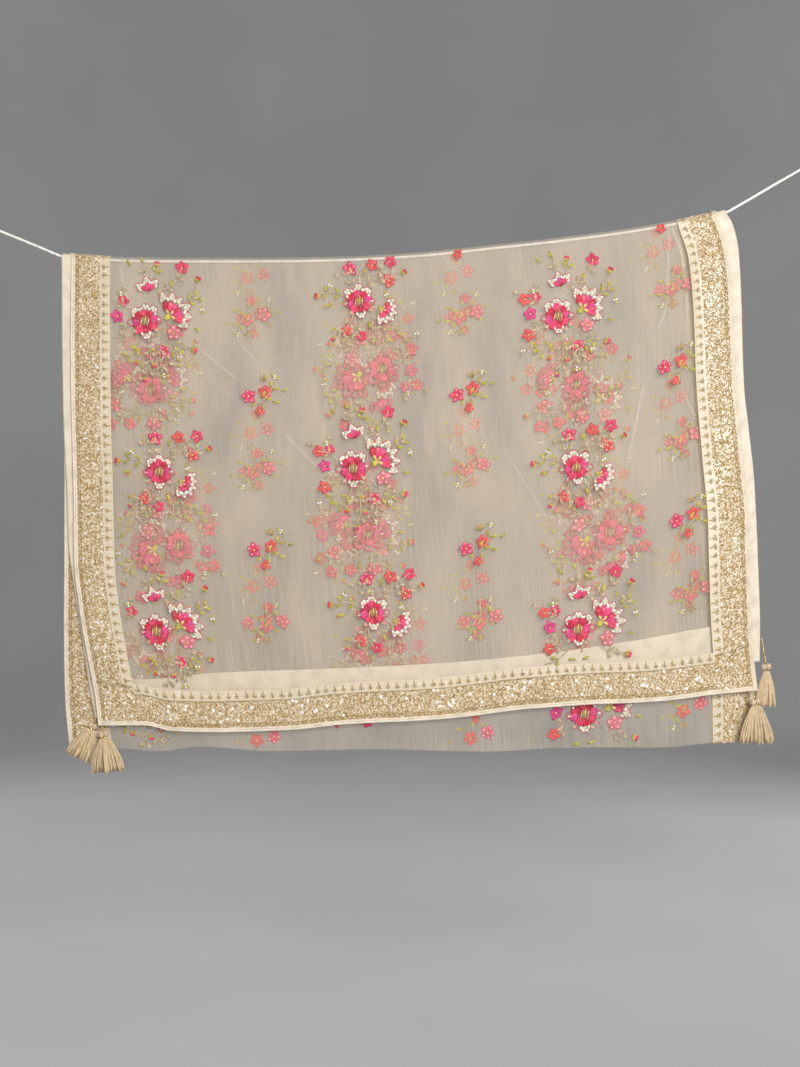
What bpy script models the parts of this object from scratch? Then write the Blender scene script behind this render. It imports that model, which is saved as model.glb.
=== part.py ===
"""An embroidered net stole, folded end to end and hung over a taut string between two wall eyes.

Metres, +Z up. X runs from the left eye to the right one. The wall is the plane Y = 0, and everything
stands in front of it, towards -Y. The origin is the middle of the left wall plate's back face.

The stole is one long cloth. From its outer hem it rises as the front outer stretch, turns over the
string, drops as the back outer stretch, turns at the bottom fold, rises as the back inner stretch,
turns over the string again and drops as the front inner stretch to its inner hem. Each stretch is
net between two side borders, and each border is edged with piping.
"""

import math
from typing import NamedTuple

import bmesh
import bpy
import numpy as np

# ---------------------------------------------------------------- the cloth, as it is cut and sewn
CLOTH_WIDTH = 0.915
BORDER_WIDTH = 0.055  # border band and piping together
PIPING_WIDTH = 0.006
PIPING_SHOWING = 0.0015  # the rolled edge that stands out past a facing
CLOTH_WALL = 0.001
SEAM_GAP = 0.0003
FACING_LIFT = CLOTH_WALL + SEAM_GAP  # between the middles of a border and of its facing
BAND_FROM = PIPING_WIDTH + SEAM_GAP  # in from the edge to the border's band
NET_FROM = BORDER_WIDTH + SEAM_GAP  # in from the edge to the net

NET_COLUMNS = 19
BORDER_COLUMNS = 2
DROP_ROWS = 10
HEM_ROWS = 2
CREST_SHARE = 0.75  # how much of a seam's gap each of two stretches leaves at the top of their turn
TURN_ANGLES = (22.0, 52.0, 90.0)  # rows on a quarter turn over the string, in degrees
FOLD_ANGLES = (32.0, 62.0, 84.0)  # rows on a quarter turn at the bottom fold, in degrees

# ---------------------------------------------------------------- the string and its wall eyes
STRING_RADIUS = 0.00175
STANDOFF = 0.030  # from the wall to the string's middle
STRING_Y = -STANDOFF

EYE_WIRE_RADIUS = 0.0015
EYE_RING_RADIUS = 0.006
EYE_SHANK = 0.004  # the straight wire next to the plate
EYE_OPEN_ANGLE = 24.0
EYE_STEPS = 22
PLATE_RADIUS = 0.011
PLATE_THICKNESS = 0.0025
PLATE_SIDES = 32
KNOT_RADIUS = 0.0055
KNOT_OFFSET = 0.0060  # from the ring's plane to the knot's middle
TUBE_RESOLUTION = 2
SLANT_ROOM = 1.25  # the string's half height where it slants through a ring, over its radius
KNOT_FACE = 0.92  # from the knot's middle to the string's end, over the knot's radius
STRING_SEAT = EYE_RING_RADIUS - EYE_WIRE_RADIUS - SLANT_ROOM * STRING_RADIUS - SEAM_GAP
STRING_TUCK = KNOT_OFFSET - KNOT_FACE * KNOT_RADIUS - SEAM_GAP  # how far outside the ring it starts


class RoutePoint(NamedTuple):
    """A point of the string's middle."""

    x: float
    z: float


RIGHT_EYE_X = 1.1310
STRING_ROUTE = (
    RoutePoint(0.0, -STRING_SEAT),
    RoutePoint(0.0295, -0.0136),
    RoutePoint(0.0700, -0.0300),
    RoutePoint(0.0950, -0.0405),
    RoutePoint(0.1050, -0.0448),
    RoutePoint(0.1115, -0.0473),
    RoutePoint(0.1190, -0.0483),
    RoutePoint(0.1500, -0.0508),
    RoutePoint(0.2170, -0.0540),
    RoutePoint(0.3240, -0.0545),
    RoutePoint(0.4300, -0.0540),
    RoutePoint(0.5000, -0.0522),
    RoutePoint(0.5950, -0.0466),
    RoutePoint(0.6940, -0.0364),
    RoutePoint(0.7970, -0.0250),
    RoutePoint(0.8820, -0.0134),
    RoutePoint(0.9410, -0.0028),
    RoutePoint(0.9840, 0.0068),
    RoutePoint(0.9980, 0.0100),
    RoutePoint(1.0060, 0.0129),
    RoutePoint(1.0130, 0.0169),
    RoutePoint(1.0340, 0.0290),
    RoutePoint(1.0720, 0.0514),
    RoutePoint(1.1015, 0.0682),
    RoutePoint(RIGHT_EYE_X, 0.0850),
)


class RouteStep(NamedTuple):
    """How close together the string's points are, up to an X."""

    until_x: float
    step: float


STRING_STEPS = (
    RouteStep(0.0900, 0.0180),
    RouteStep(0.1600, 0.0070),
    RouteStep(0.9300, 0.0195),
    RouteStep(1.0400, 0.0070),
    RouteStep(RIGHT_EYE_X + STRING_TUCK, 0.0180),
)


# ---------------------------------------------------------------- how each stretch hangs
class EdgeRow(NamedTuple):
    """The two side edges of a stretch, at a share of the way down from the string."""

    share: float
    left_x: float
    right_x: float


class HemRow(NamedTuple):
    """The lower edge of a stretch, at a share of the way across it."""

    across: float
    z: float


class Fold(NamedTuple):
    """A soft fold that stands out from a stretch, and where it runs."""

    x: float  # at the string's height
    half_width: float
    rise: float
    starts: float  # below the string
    full: float  # below the string
    lean: float  # sideways run for each metre down


class Stretch(NamedTuple):
    """One hanging stretch of the cloth, between the string and its hem or the bottom fold."""

    name: str
    side: int  # -1 in front of the string, +1 behind it
    turn: float  # radius of its turn over the string, to the middle of its wall
    edges: tuple
    hem: tuple
    has_hem: bool


INNER_TURN = STRING_RADIUS + SEAM_GAP + CLOTH_WALL / 2
OUTER_TURN = INNER_TURN + FACING_LIFT + CLOTH_WALL + SEAM_GAP

FRONT_OUTER = Stretch(
    name="front_outer",
    side=-1,
    turn=OUTER_TURN,
    edges=(
        EdgeRow(0.00, 0.1260, 0.9880),
        EdgeRow(0.08, 0.1260, 1.0025),
        EdgeRow(0.20, 0.1260, 1.0095),
        EdgeRow(0.35, 0.1272, 1.0130),
        EdgeRow(0.50, 0.1300, 1.0210),
        EdgeRow(0.65, 0.1318, 1.0295),
        EdgeRow(0.75, 0.1390, 1.0305),
        EdgeRow(0.85, 0.1505, 1.0320),
        EdgeRow(0.95, 0.1620, 1.0365),
        EdgeRow(1.00, 0.1655, 1.0405),
    ),
    hem=(
        HemRow(0.00, -0.6730),
        HemRow(0.07, -0.6735),
        HemRow(0.11, -0.6815),
        HemRow(0.18, -0.6835),
        HemRow(0.29, -0.6807),
        HemRow(0.37, -0.6730),
        HemRow(0.52, -0.6660),
        HemRow(0.66, -0.6515),
        HemRow(0.74, -0.6466),
        HemRow(0.86, -0.6415),
        HemRow(0.94, -0.6325),
        HemRow(1.00, -0.6271),
    ),
    has_hem=True,
)

FRONT_INNER = Stretch(
    name="front_inner",
    side=-1,
    turn=INNER_TURN,
    edges=(
        EdgeRow(0.00, 0.1126, 1.0015),
        EdgeRow(0.03, 0.1128, 1.0100),
        EdgeRow(0.10, 0.1130, 1.0185),
        EdgeRow(0.22, 0.1135, 1.0222),
        EdgeRow(0.40, 0.1165, 1.0255),
        EdgeRow(0.50, 0.1200, 1.0320),
        EdgeRow(0.62, 0.1220, 1.0395),
        EdgeRow(0.72, 0.1300, 1.0425),
        EdgeRow(0.82, 0.1395, 1.0450),
        EdgeRow(0.92, 0.1490, 1.0470),
        EdgeRow(1.00, 0.1580, 1.0465),
    ),
    hem=(
        HemRow(0.00, -0.6646),
        HemRow(0.08, -0.6690),
        HemRow(0.19, -0.6605),
        HemRow(0.38, -0.6539),
        HemRow(0.52, -0.6479),
        HemRow(0.66, -0.6365),
        HemRow(0.82, -0.6164),
        HemRow(0.93, -0.5984),
        HemRow(1.00, -0.5896),
    ),
    has_hem=True,
)

BOTTOM_FOLD = (
    HemRow(0.00, -0.7050),
    HemRow(0.08, -0.7060),
    HemRow(0.13, -0.7095),
    HemRow(0.19, -0.7030),
    HemRow(0.30, -0.7088),
    HemRow(0.45, -0.7070),
    HemRow(0.60, -0.7090),
    HemRow(0.71, -0.7050),
    HemRow(0.87, -0.7035),
    HemRow(0.95, -0.6975),
    HemRow(1.00, -0.6968),
)

BACK_INNER = Stretch(
    name="back_inner",
    side=1,
    turn=INNER_TURN,
    edges=(
        EdgeRow(0.00, 0.1152, 0.9970),
        EdgeRow(0.12, 0.1150, 1.0090),
        EdgeRow(0.30, 0.1146, 1.0190),
        EdgeRow(0.50, 0.1148, 1.0300),
        EdgeRow(0.75, 0.1142, 1.0380),
        EdgeRow(0.90, 0.1160, 1.0410),
        EdgeRow(1.00, 0.1215, 1.0412),
    ),
    hem=BOTTOM_FOLD,
    has_hem=False,
)

BACK_OUTER = Stretch(
    name="back_outer",
    side=1,
    turn=OUTER_TURN,
    edges=(
        EdgeRow(0.00, 0.1230, 0.9890),
        EdgeRow(0.12, 0.1222, 1.0010),
        EdgeRow(0.30, 0.1200, 1.0110),
        EdgeRow(0.50, 0.1192, 1.0220),
        EdgeRow(0.75, 0.1185, 1.0330),
        EdgeRow(0.90, 0.1190, 1.0390),
        EdgeRow(1.00, 0.1215, 1.0412),
    ),
    hem=BOTTOM_FOLD,
    has_hem=False,
)

LAYER_SPREAD = 0.0026  # two layers move this much further apart below the string
LAYER_SPREAD_DROP = 0.080
FRONT_INNER_FOLDS = (
    Fold(x=0.190, half_width=0.075, rise=0.0020, starts=0.030, full=0.300, lean=-0.02),
    Fold(x=0.450, half_width=0.090, rise=0.0030, starts=0.040, full=0.350, lean=0.05),
    Fold(x=0.760, half_width=0.085, rise=0.0025, starts=0.020, full=0.260, lean=0.04),
    Fold(x=1.010, half_width=0.070, rise=0.0020, starts=0.020, full=0.300, lean=0.00),
)
FRONT_OUTER_FOLDS = (
    Fold(x=0.135, half_width=0.060, rise=0.0085, starts=0.250, full=0.640, lean=0.06),
    Fold(x=0.330, half_width=0.075, rise=0.0035, starts=0.060, full=0.400, lean=-0.10),
    Fold(x=0.560, half_width=0.080, rise=0.0040, starts=0.080, full=0.450, lean=0.03),
    Fold(x=0.760, half_width=0.070, rise=0.0035, starts=0.060, full=0.400, lean=-0.05),
    Fold(x=0.925, half_width=0.055, rise=0.0055, starts=0.015, full=0.160, lean=-0.08),
    Fold(x=1.015, half_width=0.065, rise=0.0060, starts=0.200, full=0.620, lean=0.03),
)
BACK_INNER_FOLDS = (
    Fold(x=0.260, half_width=0.080, rise=0.0030, starts=0.030, full=0.350, lean=0.03),
    Fold(x=0.520, half_width=0.085, rise=0.0022, starts=0.040, full=0.300, lean=-0.04),
    Fold(x=0.780, half_width=0.080, rise=0.0032, starts=0.030, full=0.400, lean=0.05),
    Fold(x=1.000, half_width=0.070, rise=0.0020, starts=0.040, full=0.500, lean=0.02),
)
BACK_OUTER_FOLDS = (
    Fold(x=0.380, half_width=0.085, rise=0.0022, starts=0.060, full=0.300, lean=-0.05),
    Fold(x=0.680, half_width=0.090, rise=0.0026, starts=0.050, full=0.320, lean=0.04),
    Fold(x=0.900, half_width=0.075, rise=0.0020, starts=0.040, full=0.260, lean=0.03),
)


# ---------------------------------------------------------------- the tassels at the four corners
class Tassel(NamedTuple):
    """A thread tassel, from the corner that it is sewn to down to the ends of its threads."""

    name: str
    stretch: Stretch
    across: float  # where its bead thread is sewn on: 0 at the left edge, 1 at the right one
    from_hem: float  # and how far up from the hem
    aside: float  # how far towards +X of that place the bead thread starts
    below: float  # and how far under it
    sway: float  # the sideways lean of the bead thread and the knot, in degrees
    thread: float  # length of the bead thread
    skirt_lean: float  # degrees from straight down, positive towards +X
    skirt_length: float
    skirt_width: float
    skirt_flatness: float  # depth over width


TASSELS = (
    Tassel(
        name="inner_left",
        stretch=FRONT_INNER,
        across=0.002,
        from_hem=0.0,
        aside=0.0,
        below=0.0006,
        sway=-24.0,
        thread=0.0060,
        skirt_lean=-24.0,
        skirt_length=0.046,
        skirt_width=0.044,
        skirt_flatness=0.28,
    ),
    Tassel(
        name="outer_left",
        stretch=FRONT_OUTER,
        across=0.0065,
        from_hem=0.0,
        aside=0.0,
        below=0.0005,
        sway=10.0,
        thread=0.0075,
        skirt_lean=6.0,
        skirt_length=0.049,
        skirt_width=0.049,
        skirt_flatness=0.34,
    ),
    Tassel(
        name="inner_right",
        stretch=FRONT_INNER,
        across=1.0,
        from_hem=0.030,
        aside=0.0021,
        below=0.0,
        sway=9.0,
        thread=0.0320,
        skirt_lean=-2.0,
        skirt_length=0.052,
        skirt_width=0.029,
        skirt_flatness=0.42,
    ),
    Tassel(
        name="outer_right",
        stretch=FRONT_OUTER,
        across=0.992,
        from_hem=0.0,
        aside=0.0,
        below=0.0006,
        sway=16.0,
        thread=0.0090,
        skirt_lean=-1.0,
        skirt_length=0.054,
        skirt_width=0.049,
        skirt_flatness=0.34,
    ),
)
BEAD_RADIUS = 0.0016
BEAD_WAIST = 0.0010
BEAD_PITCH = 0.0030
BEAD_SHOULDER = 0.35  # where a bead is full width, as a share of its pitch from either end
BEAD_SIDES = 10
KNOB_WIDTH = 0.0120
KNOB_HEIGHT = 0.0095
KNOB_DEPTH = 0.0090
BALL_SEGMENTS = 14
BALL_RINGS = 8
SKIRT_SIDES = 16
SKIRT_GAP = 1.5 * SEAM_GAP  # under the knob


class SkirtRow(NamedTuple):
    """The outline of a tassel's skirt, as shares of its length and of half its width."""

    down: float
    out: float


SKIRT_PROFILE = (
    SkirtRow(0.00, 0.06),
    SkirtRow(0.03, 0.24),
    SkirtRow(0.14, 0.42),
    SkirtRow(0.40, 0.66),
    SkirtRow(0.75, 0.90),
    SkirtRow(0.94, 1.00),
    SkirtRow(1.00, 0.84),
)


class Finish(NamedTuple):
    """The colour, roughness and metallic value of a material."""

    color: tuple
    roughness: float
    metallic: float


NET = Finish((0.62, 0.56, 0.46), 0.70, 0.0)
GOLD_BORDER = Finish((0.66, 0.50, 0.29), 0.45, 0.35)
SATIN = Finish((0.80, 0.73, 0.60), 0.55, 0.0)
THREAD = Finish((0.76, 0.66, 0.50), 0.80, 0.0)
GOLD_BEAD = Finish((0.80, 0.58, 0.24), 0.25, 1.0)
COTTON = Finish((0.85, 0.82, 0.76), 0.85, 0.0)
STEEL = Finish((0.56, 0.56, 0.58), 0.30, 1.0)


def curve_through(xs, ys):
    """A smooth function through the points, which never swings past them."""
    xs, ys = np.array(xs, float), np.array(ys, float)
    step, rise = np.diff(xs), np.diff(ys) / np.diff(xs)
    before, after = rise[:-1], rise[1:]
    same_way = before * after > 0
    weighted = 3 * (step[:-1] + step[1:]) / np.where(
        same_way,
        (2 * step[1:] + step[:-1]) / np.where(same_way, before, 1)
        + (step[1:] + 2 * step[:-1]) / np.where(same_way, after, 1),
        1,
    )
    slopes = np.concatenate([[rise[0]], np.where(same_way, weighted, 0), [rise[-1]]])

    def at(x):
        i = int(np.clip(np.searchsorted(xs, x) - 1, 0, len(xs) - 2))
        t = float(np.clip((x - xs[i]) / step[i], 0, 1))
        over = x - xs[i] - t * step[i]  # past either end it runs on straight
        low, high = slopes[i] * step[i], slopes[i + 1] * step[i]
        smooth = (
            (2 * t**3 - 3 * t**2 + 1) * ys[i]
            + (t**3 - 2 * t**2 + t) * low
            + (3 * t**2 - 2 * t**3) * ys[i + 1]
            + (t**3 - t**2) * high
        )
        return float(smooth + over * slopes[i if over < 0 else i + 1])

    return at


string_z = curve_through([p.x for p in STRING_ROUTE], [p.z for p in STRING_ROUTE])


def ramp(value, low, high):
    """0 up to low, 1 from high, and a smooth rise between."""
    t = min(max((value - low) / (high - low), 0.0), 1.0)
    return t * t * (3 - 2 * t)


def folds_rise(folds, x, drop):
    """How far the folds stand out, at a place across and a drop below the string."""
    return sum(
        fold.rise
        * math.exp(-(((x - fold.x - fold.lean * drop) / fold.half_width) ** 2))
        * ramp(drop, fold.starts, fold.full)
        for fold in folds
    )


def depth(stretch, x, drop):
    """How far the middle of a stretch's wall is from the string's own plane."""
    inner, outer = (
        (FRONT_INNER_FOLDS, FRONT_OUTER_FOLDS)
        if stretch.side < 0
        else (BACK_INNER_FOLDS, BACK_OUTER_FOLDS)
    )
    reach = INNER_TURN + folds_rise(inner, x, drop)
    if stretch.turn > INNER_TURN:
        reach += OUTER_TURN - INNER_TURN
        reach += LAYER_SPREAD * ramp(drop, 0.0, LAYER_SPREAD_DROP) + folds_rise(outer, x, drop)
    return reach


class Hanging:
    """A stretch with its edges as functions: where any point of it hangs."""

    def __init__(self, stretch):
        self.stretch = stretch
        shares = [row.share for row in stretch.edges]
        self.left = curve_through(shares, [row.left_x for row in stretch.edges])
        self.right = curve_through(shares, [row.right_x for row in stretch.edges])
        self.hem = curve_through([row.across for row in stretch.hem], [row.z for row in stretch.hem])

    def x_at(self, across, share):
        left, right = self.left(share), self.right(share)
        return left + (right - left) * across

    def drop_length(self, across):
        """The way down from the string's middle to the lower edge."""
        return string_z(self.x_at(across, 0.5)) - self.hem(across)

    def on_turn(self, across, angle, lift):
        """A point on the quarter turn over the string: 0 degrees on top, 90 level with its middle."""
        x = self.x_at(across, 0.0)
        radius = self.stretch.turn + lift
        slope = (string_z(x + STRING_RADIUS) - string_z(x - STRING_RADIUS)) / (2 * STRING_RADIUS)
        rise = radius * math.cos(math.radians(angle)) * math.hypot(1, slope)
        out = radius * math.sin(math.radians(angle))
        return x, STRING_Y + self.stretch.side * out, string_z(x) + rise

    def on_drop(self, across, share, lift):
        """A point below the string, at a share of the way down to the lower edge."""
        x = self.x_at(across, share)
        top = string_z(x)
        z = top - share * (top - self.hem(across))
        out = depth(self.stretch, x, top - z) + lift
        return x, STRING_Y + self.stretch.side * out, z

    def on_fold(self, across, angle):
        """A point on the quarter turn at the bottom fold: 0 degrees level with its middle, 90 below."""
        x = self.x_at(across, 1.0)
        z = self.hem(across)
        inner = depth(BACK_INNER, x, string_z(x) - z)
        outer = depth(BACK_OUTER, x, string_z(x) - z)
        radius = (outer - inner) / 2
        toward = 1 if self.stretch.turn > INNER_TURN else -1
        y = STRING_Y + (inner + outer) / 2 + toward * radius * math.cos(math.radians(angle))
        return x, y, z - radius * math.sin(math.radians(angle))


FRONT_OUTER_CLOTH = Hanging(FRONT_OUTER)
FRONT_INNER_CLOTH = Hanging(FRONT_INNER)
BACK_INNER_CLOTH = Hanging(BACK_INNER)
BACK_OUTER_CLOTH = Hanging(BACK_OUTER)


def material(name, finish):
    """A plain material of that finish, named for its piece."""
    made = bpy.data.materials.new(name)
    made.use_nodes = True
    shader = made.node_tree.nodes["Principled BSDF"]
    shader.inputs["Base Color"].default_value = (*finish.color, 1.0)
    shader.inputs["Roughness"].default_value = finish.roughness
    shader.inputs["Metallic"].default_value = finish.metallic
    return made


def add_object(name, data, finish):
    """An object of that data in the stole's collection, with its own material."""
    made = bpy.data.objects.new(name, data)
    stole_collection.objects.link(made)
    data.materials.append(material(name, finish))
    return made


def cloth_wall(name, rows, finish):
    """A wall of cloth through rows of points, each row from left to right."""
    row_count, column_count = len(rows), len(rows[0])
    shape = bmesh.new()
    bmesh.ops.create_grid(
        shape, x_segments=column_count - 1, y_segments=row_count - 1, size=0.5
    )
    for vert in shape.verts:
        column = round((vert.co.x + 0.5) * (column_count - 1))
        row = round((0.5 - vert.co.y) * (row_count - 1))
        vert.co = rows[row][column]
    mesh = bpy.data.meshes.new(name)
    shape.to_mesh(mesh)
    shape.free()
    mesh.shade_smooth()
    wall = add_object(name, mesh, finish)
    solidify = wall.modifiers.new("wall", "SOLIDIFY")
    solidify.thickness = CLOTH_WALL
    solidify.offset = 0.0
    return wall


def evenly(low, high, count):
    """Count + 1 numbers from low to high."""
    return [low + (high - low) * i / count for i in range(count + 1)]


def strip_rows(cloth, stations, heights, lift=0.0):
    """Rows of a strip through stations across a stretch, at heights above its hem."""
    acrosses = [u / CLOTH_WIDTH for u in stations]
    return [
        [cloth.on_drop(across, 1 - v / cloth.drop_length(across), lift) for across in acrosses]
        for v in heights
    ]


def panel_rows(cloth, stations, heights=(), lift=0.0):
    """Rows from the top of the turn over the string to the net's lower edge, and on at the heights."""
    acrosses = [u / CLOTH_WIDTH for u in stations]
    first_angle = math.degrees(CREST_SHARE * SEAM_GAP / (cloth.stretch.turn + lift))
    rows = [
        [cloth.on_turn(across, angle, lift) for across in acrosses]
        for angle in (first_angle, *TURN_ANGLES)
    ]
    net_up = BORDER_WIDTH + SEAM_GAP if cloth.stretch.has_hem else 0.0
    for k in range(1, DROP_ROWS + 1):
        rows.append([
            cloth.on_drop(across, (1 - net_up / cloth.drop_length(across)) * k / DROP_ROWS, lift)
            for across in acrosses
        ])
    if cloth.stretch.has_hem:
        return rows + strip_rows(cloth, stations, heights, lift)
    return rows + [[cloth.on_fold(across, angle) for across in acrosses] for angle in FOLD_ANGLES]


def make_stretch(cloth):
    """The net, the side borders and the piping of one stretch, and its hem where it has one."""
    name = cloth.stretch.name
    band_heights = evenly(BORDER_WIDTH, BAND_FROM, HEM_ROWS)
    left = evenly(BAND_FROM, BORDER_WIDTH, BORDER_COLUMNS)
    right = [CLOTH_WIDTH - u for u in reversed(left)]
    net = evenly(NET_FROM, CLOTH_WIDTH - NET_FROM, NET_COLUMNS)
    cloth_wall("net_" + name, panel_rows(cloth, net), NET)
    for side, stations in (("left", left), ("right", right)):
        band = panel_rows(cloth, stations, band_heights[1:])
        cloth_wall(f"border_{side}_{name}", band, GOLD_BORDER)
    for side, outer_u in (("left", 0.0), ("right", CLOTH_WIDTH - PIPING_WIDTH)):
        edge = panel_rows(cloth, (outer_u, outer_u + PIPING_WIDTH), [*band_heights[1:], 0.0])
        cloth_wall(f"piping_{side}_{name}", edge, SATIN)
    if cloth.stretch.has_hem:
        cloth_wall("border_hem_" + name, strip_rows(cloth, net, band_heights), GOLD_BORDER)
        along_hem = [*left[:-1], *net, *right[1:]]
        edge = strip_rows(cloth, along_hem, (PIPING_WIDTH, 0.0))
        cloth_wall("piping_hem_" + name, edge, SATIN)


def make_facings(cloth):
    """The plain strips that cover the borders' wrong side, where that side shows."""
    heights = evenly(BORDER_WIDTH, PIPING_SHOWING, HEM_ROWS)
    left = evenly(PIPING_SHOWING, BORDER_WIDTH, BORDER_COLUMNS)
    right = [CLOTH_WIDTH - u for u in reversed(left)]
    for side, stations in (("left", left), ("right", right)):
        rows = panel_rows(cloth, stations, heights[1:], FACING_LIFT)
        cloth_wall("facing_" + side, rows, SATIN)
    net = evenly(NET_FROM, CLOTH_WIDTH - NET_FROM, NET_COLUMNS)
    cloth_wall("facing_hem", strip_rows(cloth, net, heights, FACING_LIFT), SATIN)


def turned(name, profile, sides, finish):
    """A piece turned about its own Z axis, from (radius, height) points that run from its top down."""
    points = [(0.0, profile[0][1]), *profile, (0.0, profile[-1][1])]
    mesh = bpy.data.meshes.new(name)
    outline = bmesh.new()
    verts = [outline.verts.new((radius, 0.0, height)) for radius, height in points]
    for upper, lower in zip(verts, verts[1:]):
        outline.edges.new((upper, lower))
    outline.to_mesh(mesh)
    outline.free()
    piece = add_object(name, mesh, finish)
    screw = piece.modifiers.new("turn", "SCREW")
    screw.axis = "Z"
    screw.steps = sides
    screw.render_steps = sides
    screw.use_merge_vertices = True
    screw.merge_threshold = 0.00001
    return piece


def rounded(name, size, finish):
    """A ball of that width, depth and height."""
    mesh = bpy.data.meshes.new(name)
    ball = bmesh.new()
    bmesh.ops.create_uvsphere(ball, u_segments=BALL_SEGMENTS, v_segments=BALL_RINGS, radius=0.5)
    bmesh.ops.scale(ball, vec=size, verts=ball.verts)
    ball.to_mesh(mesh)
    ball.free()
    mesh.shade_smooth()
    return add_object(name, mesh, finish)


def make_tassel(tassel):
    """A bead thread, a wrapped knob and a skirt of threads, hanging from a corner."""
    cloth = Hanging(tassel.stretch)
    share = 1 - tassel.from_hem / cloth.drop_length(tassel.across)
    edge = np.array(cloth.on_drop(tassel.across, share, 0.0))
    sway = math.radians(tassel.sway)
    down = np.array([math.sin(sway), 0.0, -math.cos(sway)])
    top = edge + [tassel.aside, 0.0, -tassel.below]
    beads = max(1, round(tassel.thread / BEAD_PITCH))
    length = beads * BEAD_PITCH
    profile = []
    for bead in range(beads):
        start = -bead * BEAD_PITCH
        profile += [
            (BEAD_WAIST, start),
            (BEAD_RADIUS, start - BEAD_PITCH * BEAD_SHOULDER),
            (BEAD_RADIUS, start - BEAD_PITCH * (1 - BEAD_SHOULDER)),
        ]
    profile.append((BEAD_WAIST, -length))
    thread = turned("beads_" + tassel.name, profile, BEAD_SIDES, GOLD_BEAD)
    thread.location = top
    thread.rotation_euler = (0.0, -sway, 0.0)

    knob_middle = top + down * (length + SEAM_GAP + KNOB_HEIGHT / 2)
    knob = rounded("knob_" + tassel.name, (KNOB_WIDTH, KNOB_DEPTH, KNOB_HEIGHT), THREAD)
    knob.location = knob_middle
    knob.rotation_euler = (0.0, -sway, 0.0)

    profile = [
        (row.out * tassel.skirt_width / 2, -row.down * tassel.skirt_length) for row in SKIRT_PROFILE
    ]
    skirt = turned("skirt_" + tassel.name, profile, SKIRT_SIDES, THREAD)
    skirt.location = knob_middle + down * (KNOB_HEIGHT / 2 + SKIRT_GAP)
    skirt.rotation_euler = (0.0, -math.radians(tassel.skirt_lean), 0.0)
    skirt.scale = (1.0, tassel.skirt_flatness, 1.0)


def tube(name, points, radius, finish):
    """A round bar or cord along the points, closed at both ends."""
    curve = bpy.data.curves.new(name, "CURVE")
    curve.dimensions = "3D"
    curve.bevel_depth = radius
    curve.bevel_resolution = TUBE_RESOLUTION
    curve.use_fill_caps = True
    spline = curve.splines.new("POLY")
    spline.points.add(len(points) - 1)
    for spot, place in zip(spline.points, points):
        spot.co = (*place, 1.0)
    return add_object(name, curve, finish)


def make_string():
    """The string, read off the smooth curve through its route."""
    xs = [-STRING_TUCK]
    for until_x, step in STRING_STEPS:
        xs += evenly(xs[-1], until_x, round((until_x - xs[-1]) / step))[1:]
    tube("string", [(x, STRING_Y, string_z(x)) for x in xs], STRING_RADIUS, COTTON)


def make_eye(side, x, outward):
    """A wall plate, the wire eye that stands out of it, and the string's knot behind the eye."""
    middle_z = string_z(x) + STRING_SEAT
    shank_start = -PLATE_THICKNESS - SEAM_GAP
    points = [(x, shank_start, middle_z), (x, shank_start - EYE_SHANK, middle_z)]
    for angle in evenly(0.0, math.radians(360.0 - EYE_OPEN_ANGLE), EYE_STEPS):
        points.append((
            x,
            STRING_Y + EYE_RING_RADIUS * math.cos(angle),
            middle_z + EYE_RING_RADIUS * math.sin(angle),
        ))
    tube("eye_" + side, points, EYE_WIRE_RADIUS, STEEL)

    mesh = bpy.data.meshes.new("plate_" + side)
    disc = bmesh.new()
    bmesh.ops.create_cone(
        disc,
        cap_ends=True,
        segments=PLATE_SIDES,
        radius1=PLATE_RADIUS,
        radius2=PLATE_RADIUS,
        depth=PLATE_THICKNESS,
    )
    disc.to_mesh(mesh)
    disc.free()
    plate = add_object("plate_" + side, mesh, STEEL)
    plate.location = (x, -PLATE_THICKNESS / 2, middle_z)
    plate.rotation_euler = (math.radians(90), 0.0, 0.0)

    knot = rounded("knot_" + side, (2 * KNOT_RADIUS,) * 3, COTTON)
    knot_x = x + outward * KNOT_OFFSET
    knot.location = (knot_x, STRING_Y, string_z(knot_x))


for old in list(bpy.data.objects):
    bpy.data.objects.remove(old, do_unlink=True)
stole_collection = bpy.data.collections.new("hung_stole")
bpy.context.scene.collection.children.link(stole_collection)

for hanging_cloth in (FRONT_OUTER_CLOTH, BACK_OUTER_CLOTH, BACK_INNER_CLOTH, FRONT_INNER_CLOTH):
    make_stretch(hanging_cloth)
make_facings(FRONT_INNER_CLOTH)
for corner_tassel in TASSELS:
    make_tassel(corner_tassel)
make_string()
make_eye("left", 0.0, -1)
make_eye("right", RIGHT_EYE_X, 1)
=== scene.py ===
"""The looks of an embroidered net stole, folded end to end and hung over a taut string.

Metres, +Z up. X runs from the left wall eye to the right one, the wall is the plane Y = 0, and the
cloth hangs in front of it, towards -Y. The string divides the layers: front outer and front inner
before it, back inner and back outer behind it.

Whatever lies on the cloth is first laid out flat, as on a sewing table: X across the cloth from its
left edge, Y up towards the string (so minus the way down from the top of the turn), Z off the
cloth's right side. Then it is hung, each point to the place where the cloth carries it.
"""

from __future__ import annotations

import logging
import math
import random
from contextlib import contextmanager
from dataclasses import dataclass, field
from enum import Enum
from typing import Callable, Iterator, NamedTuple, Sequence

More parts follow.
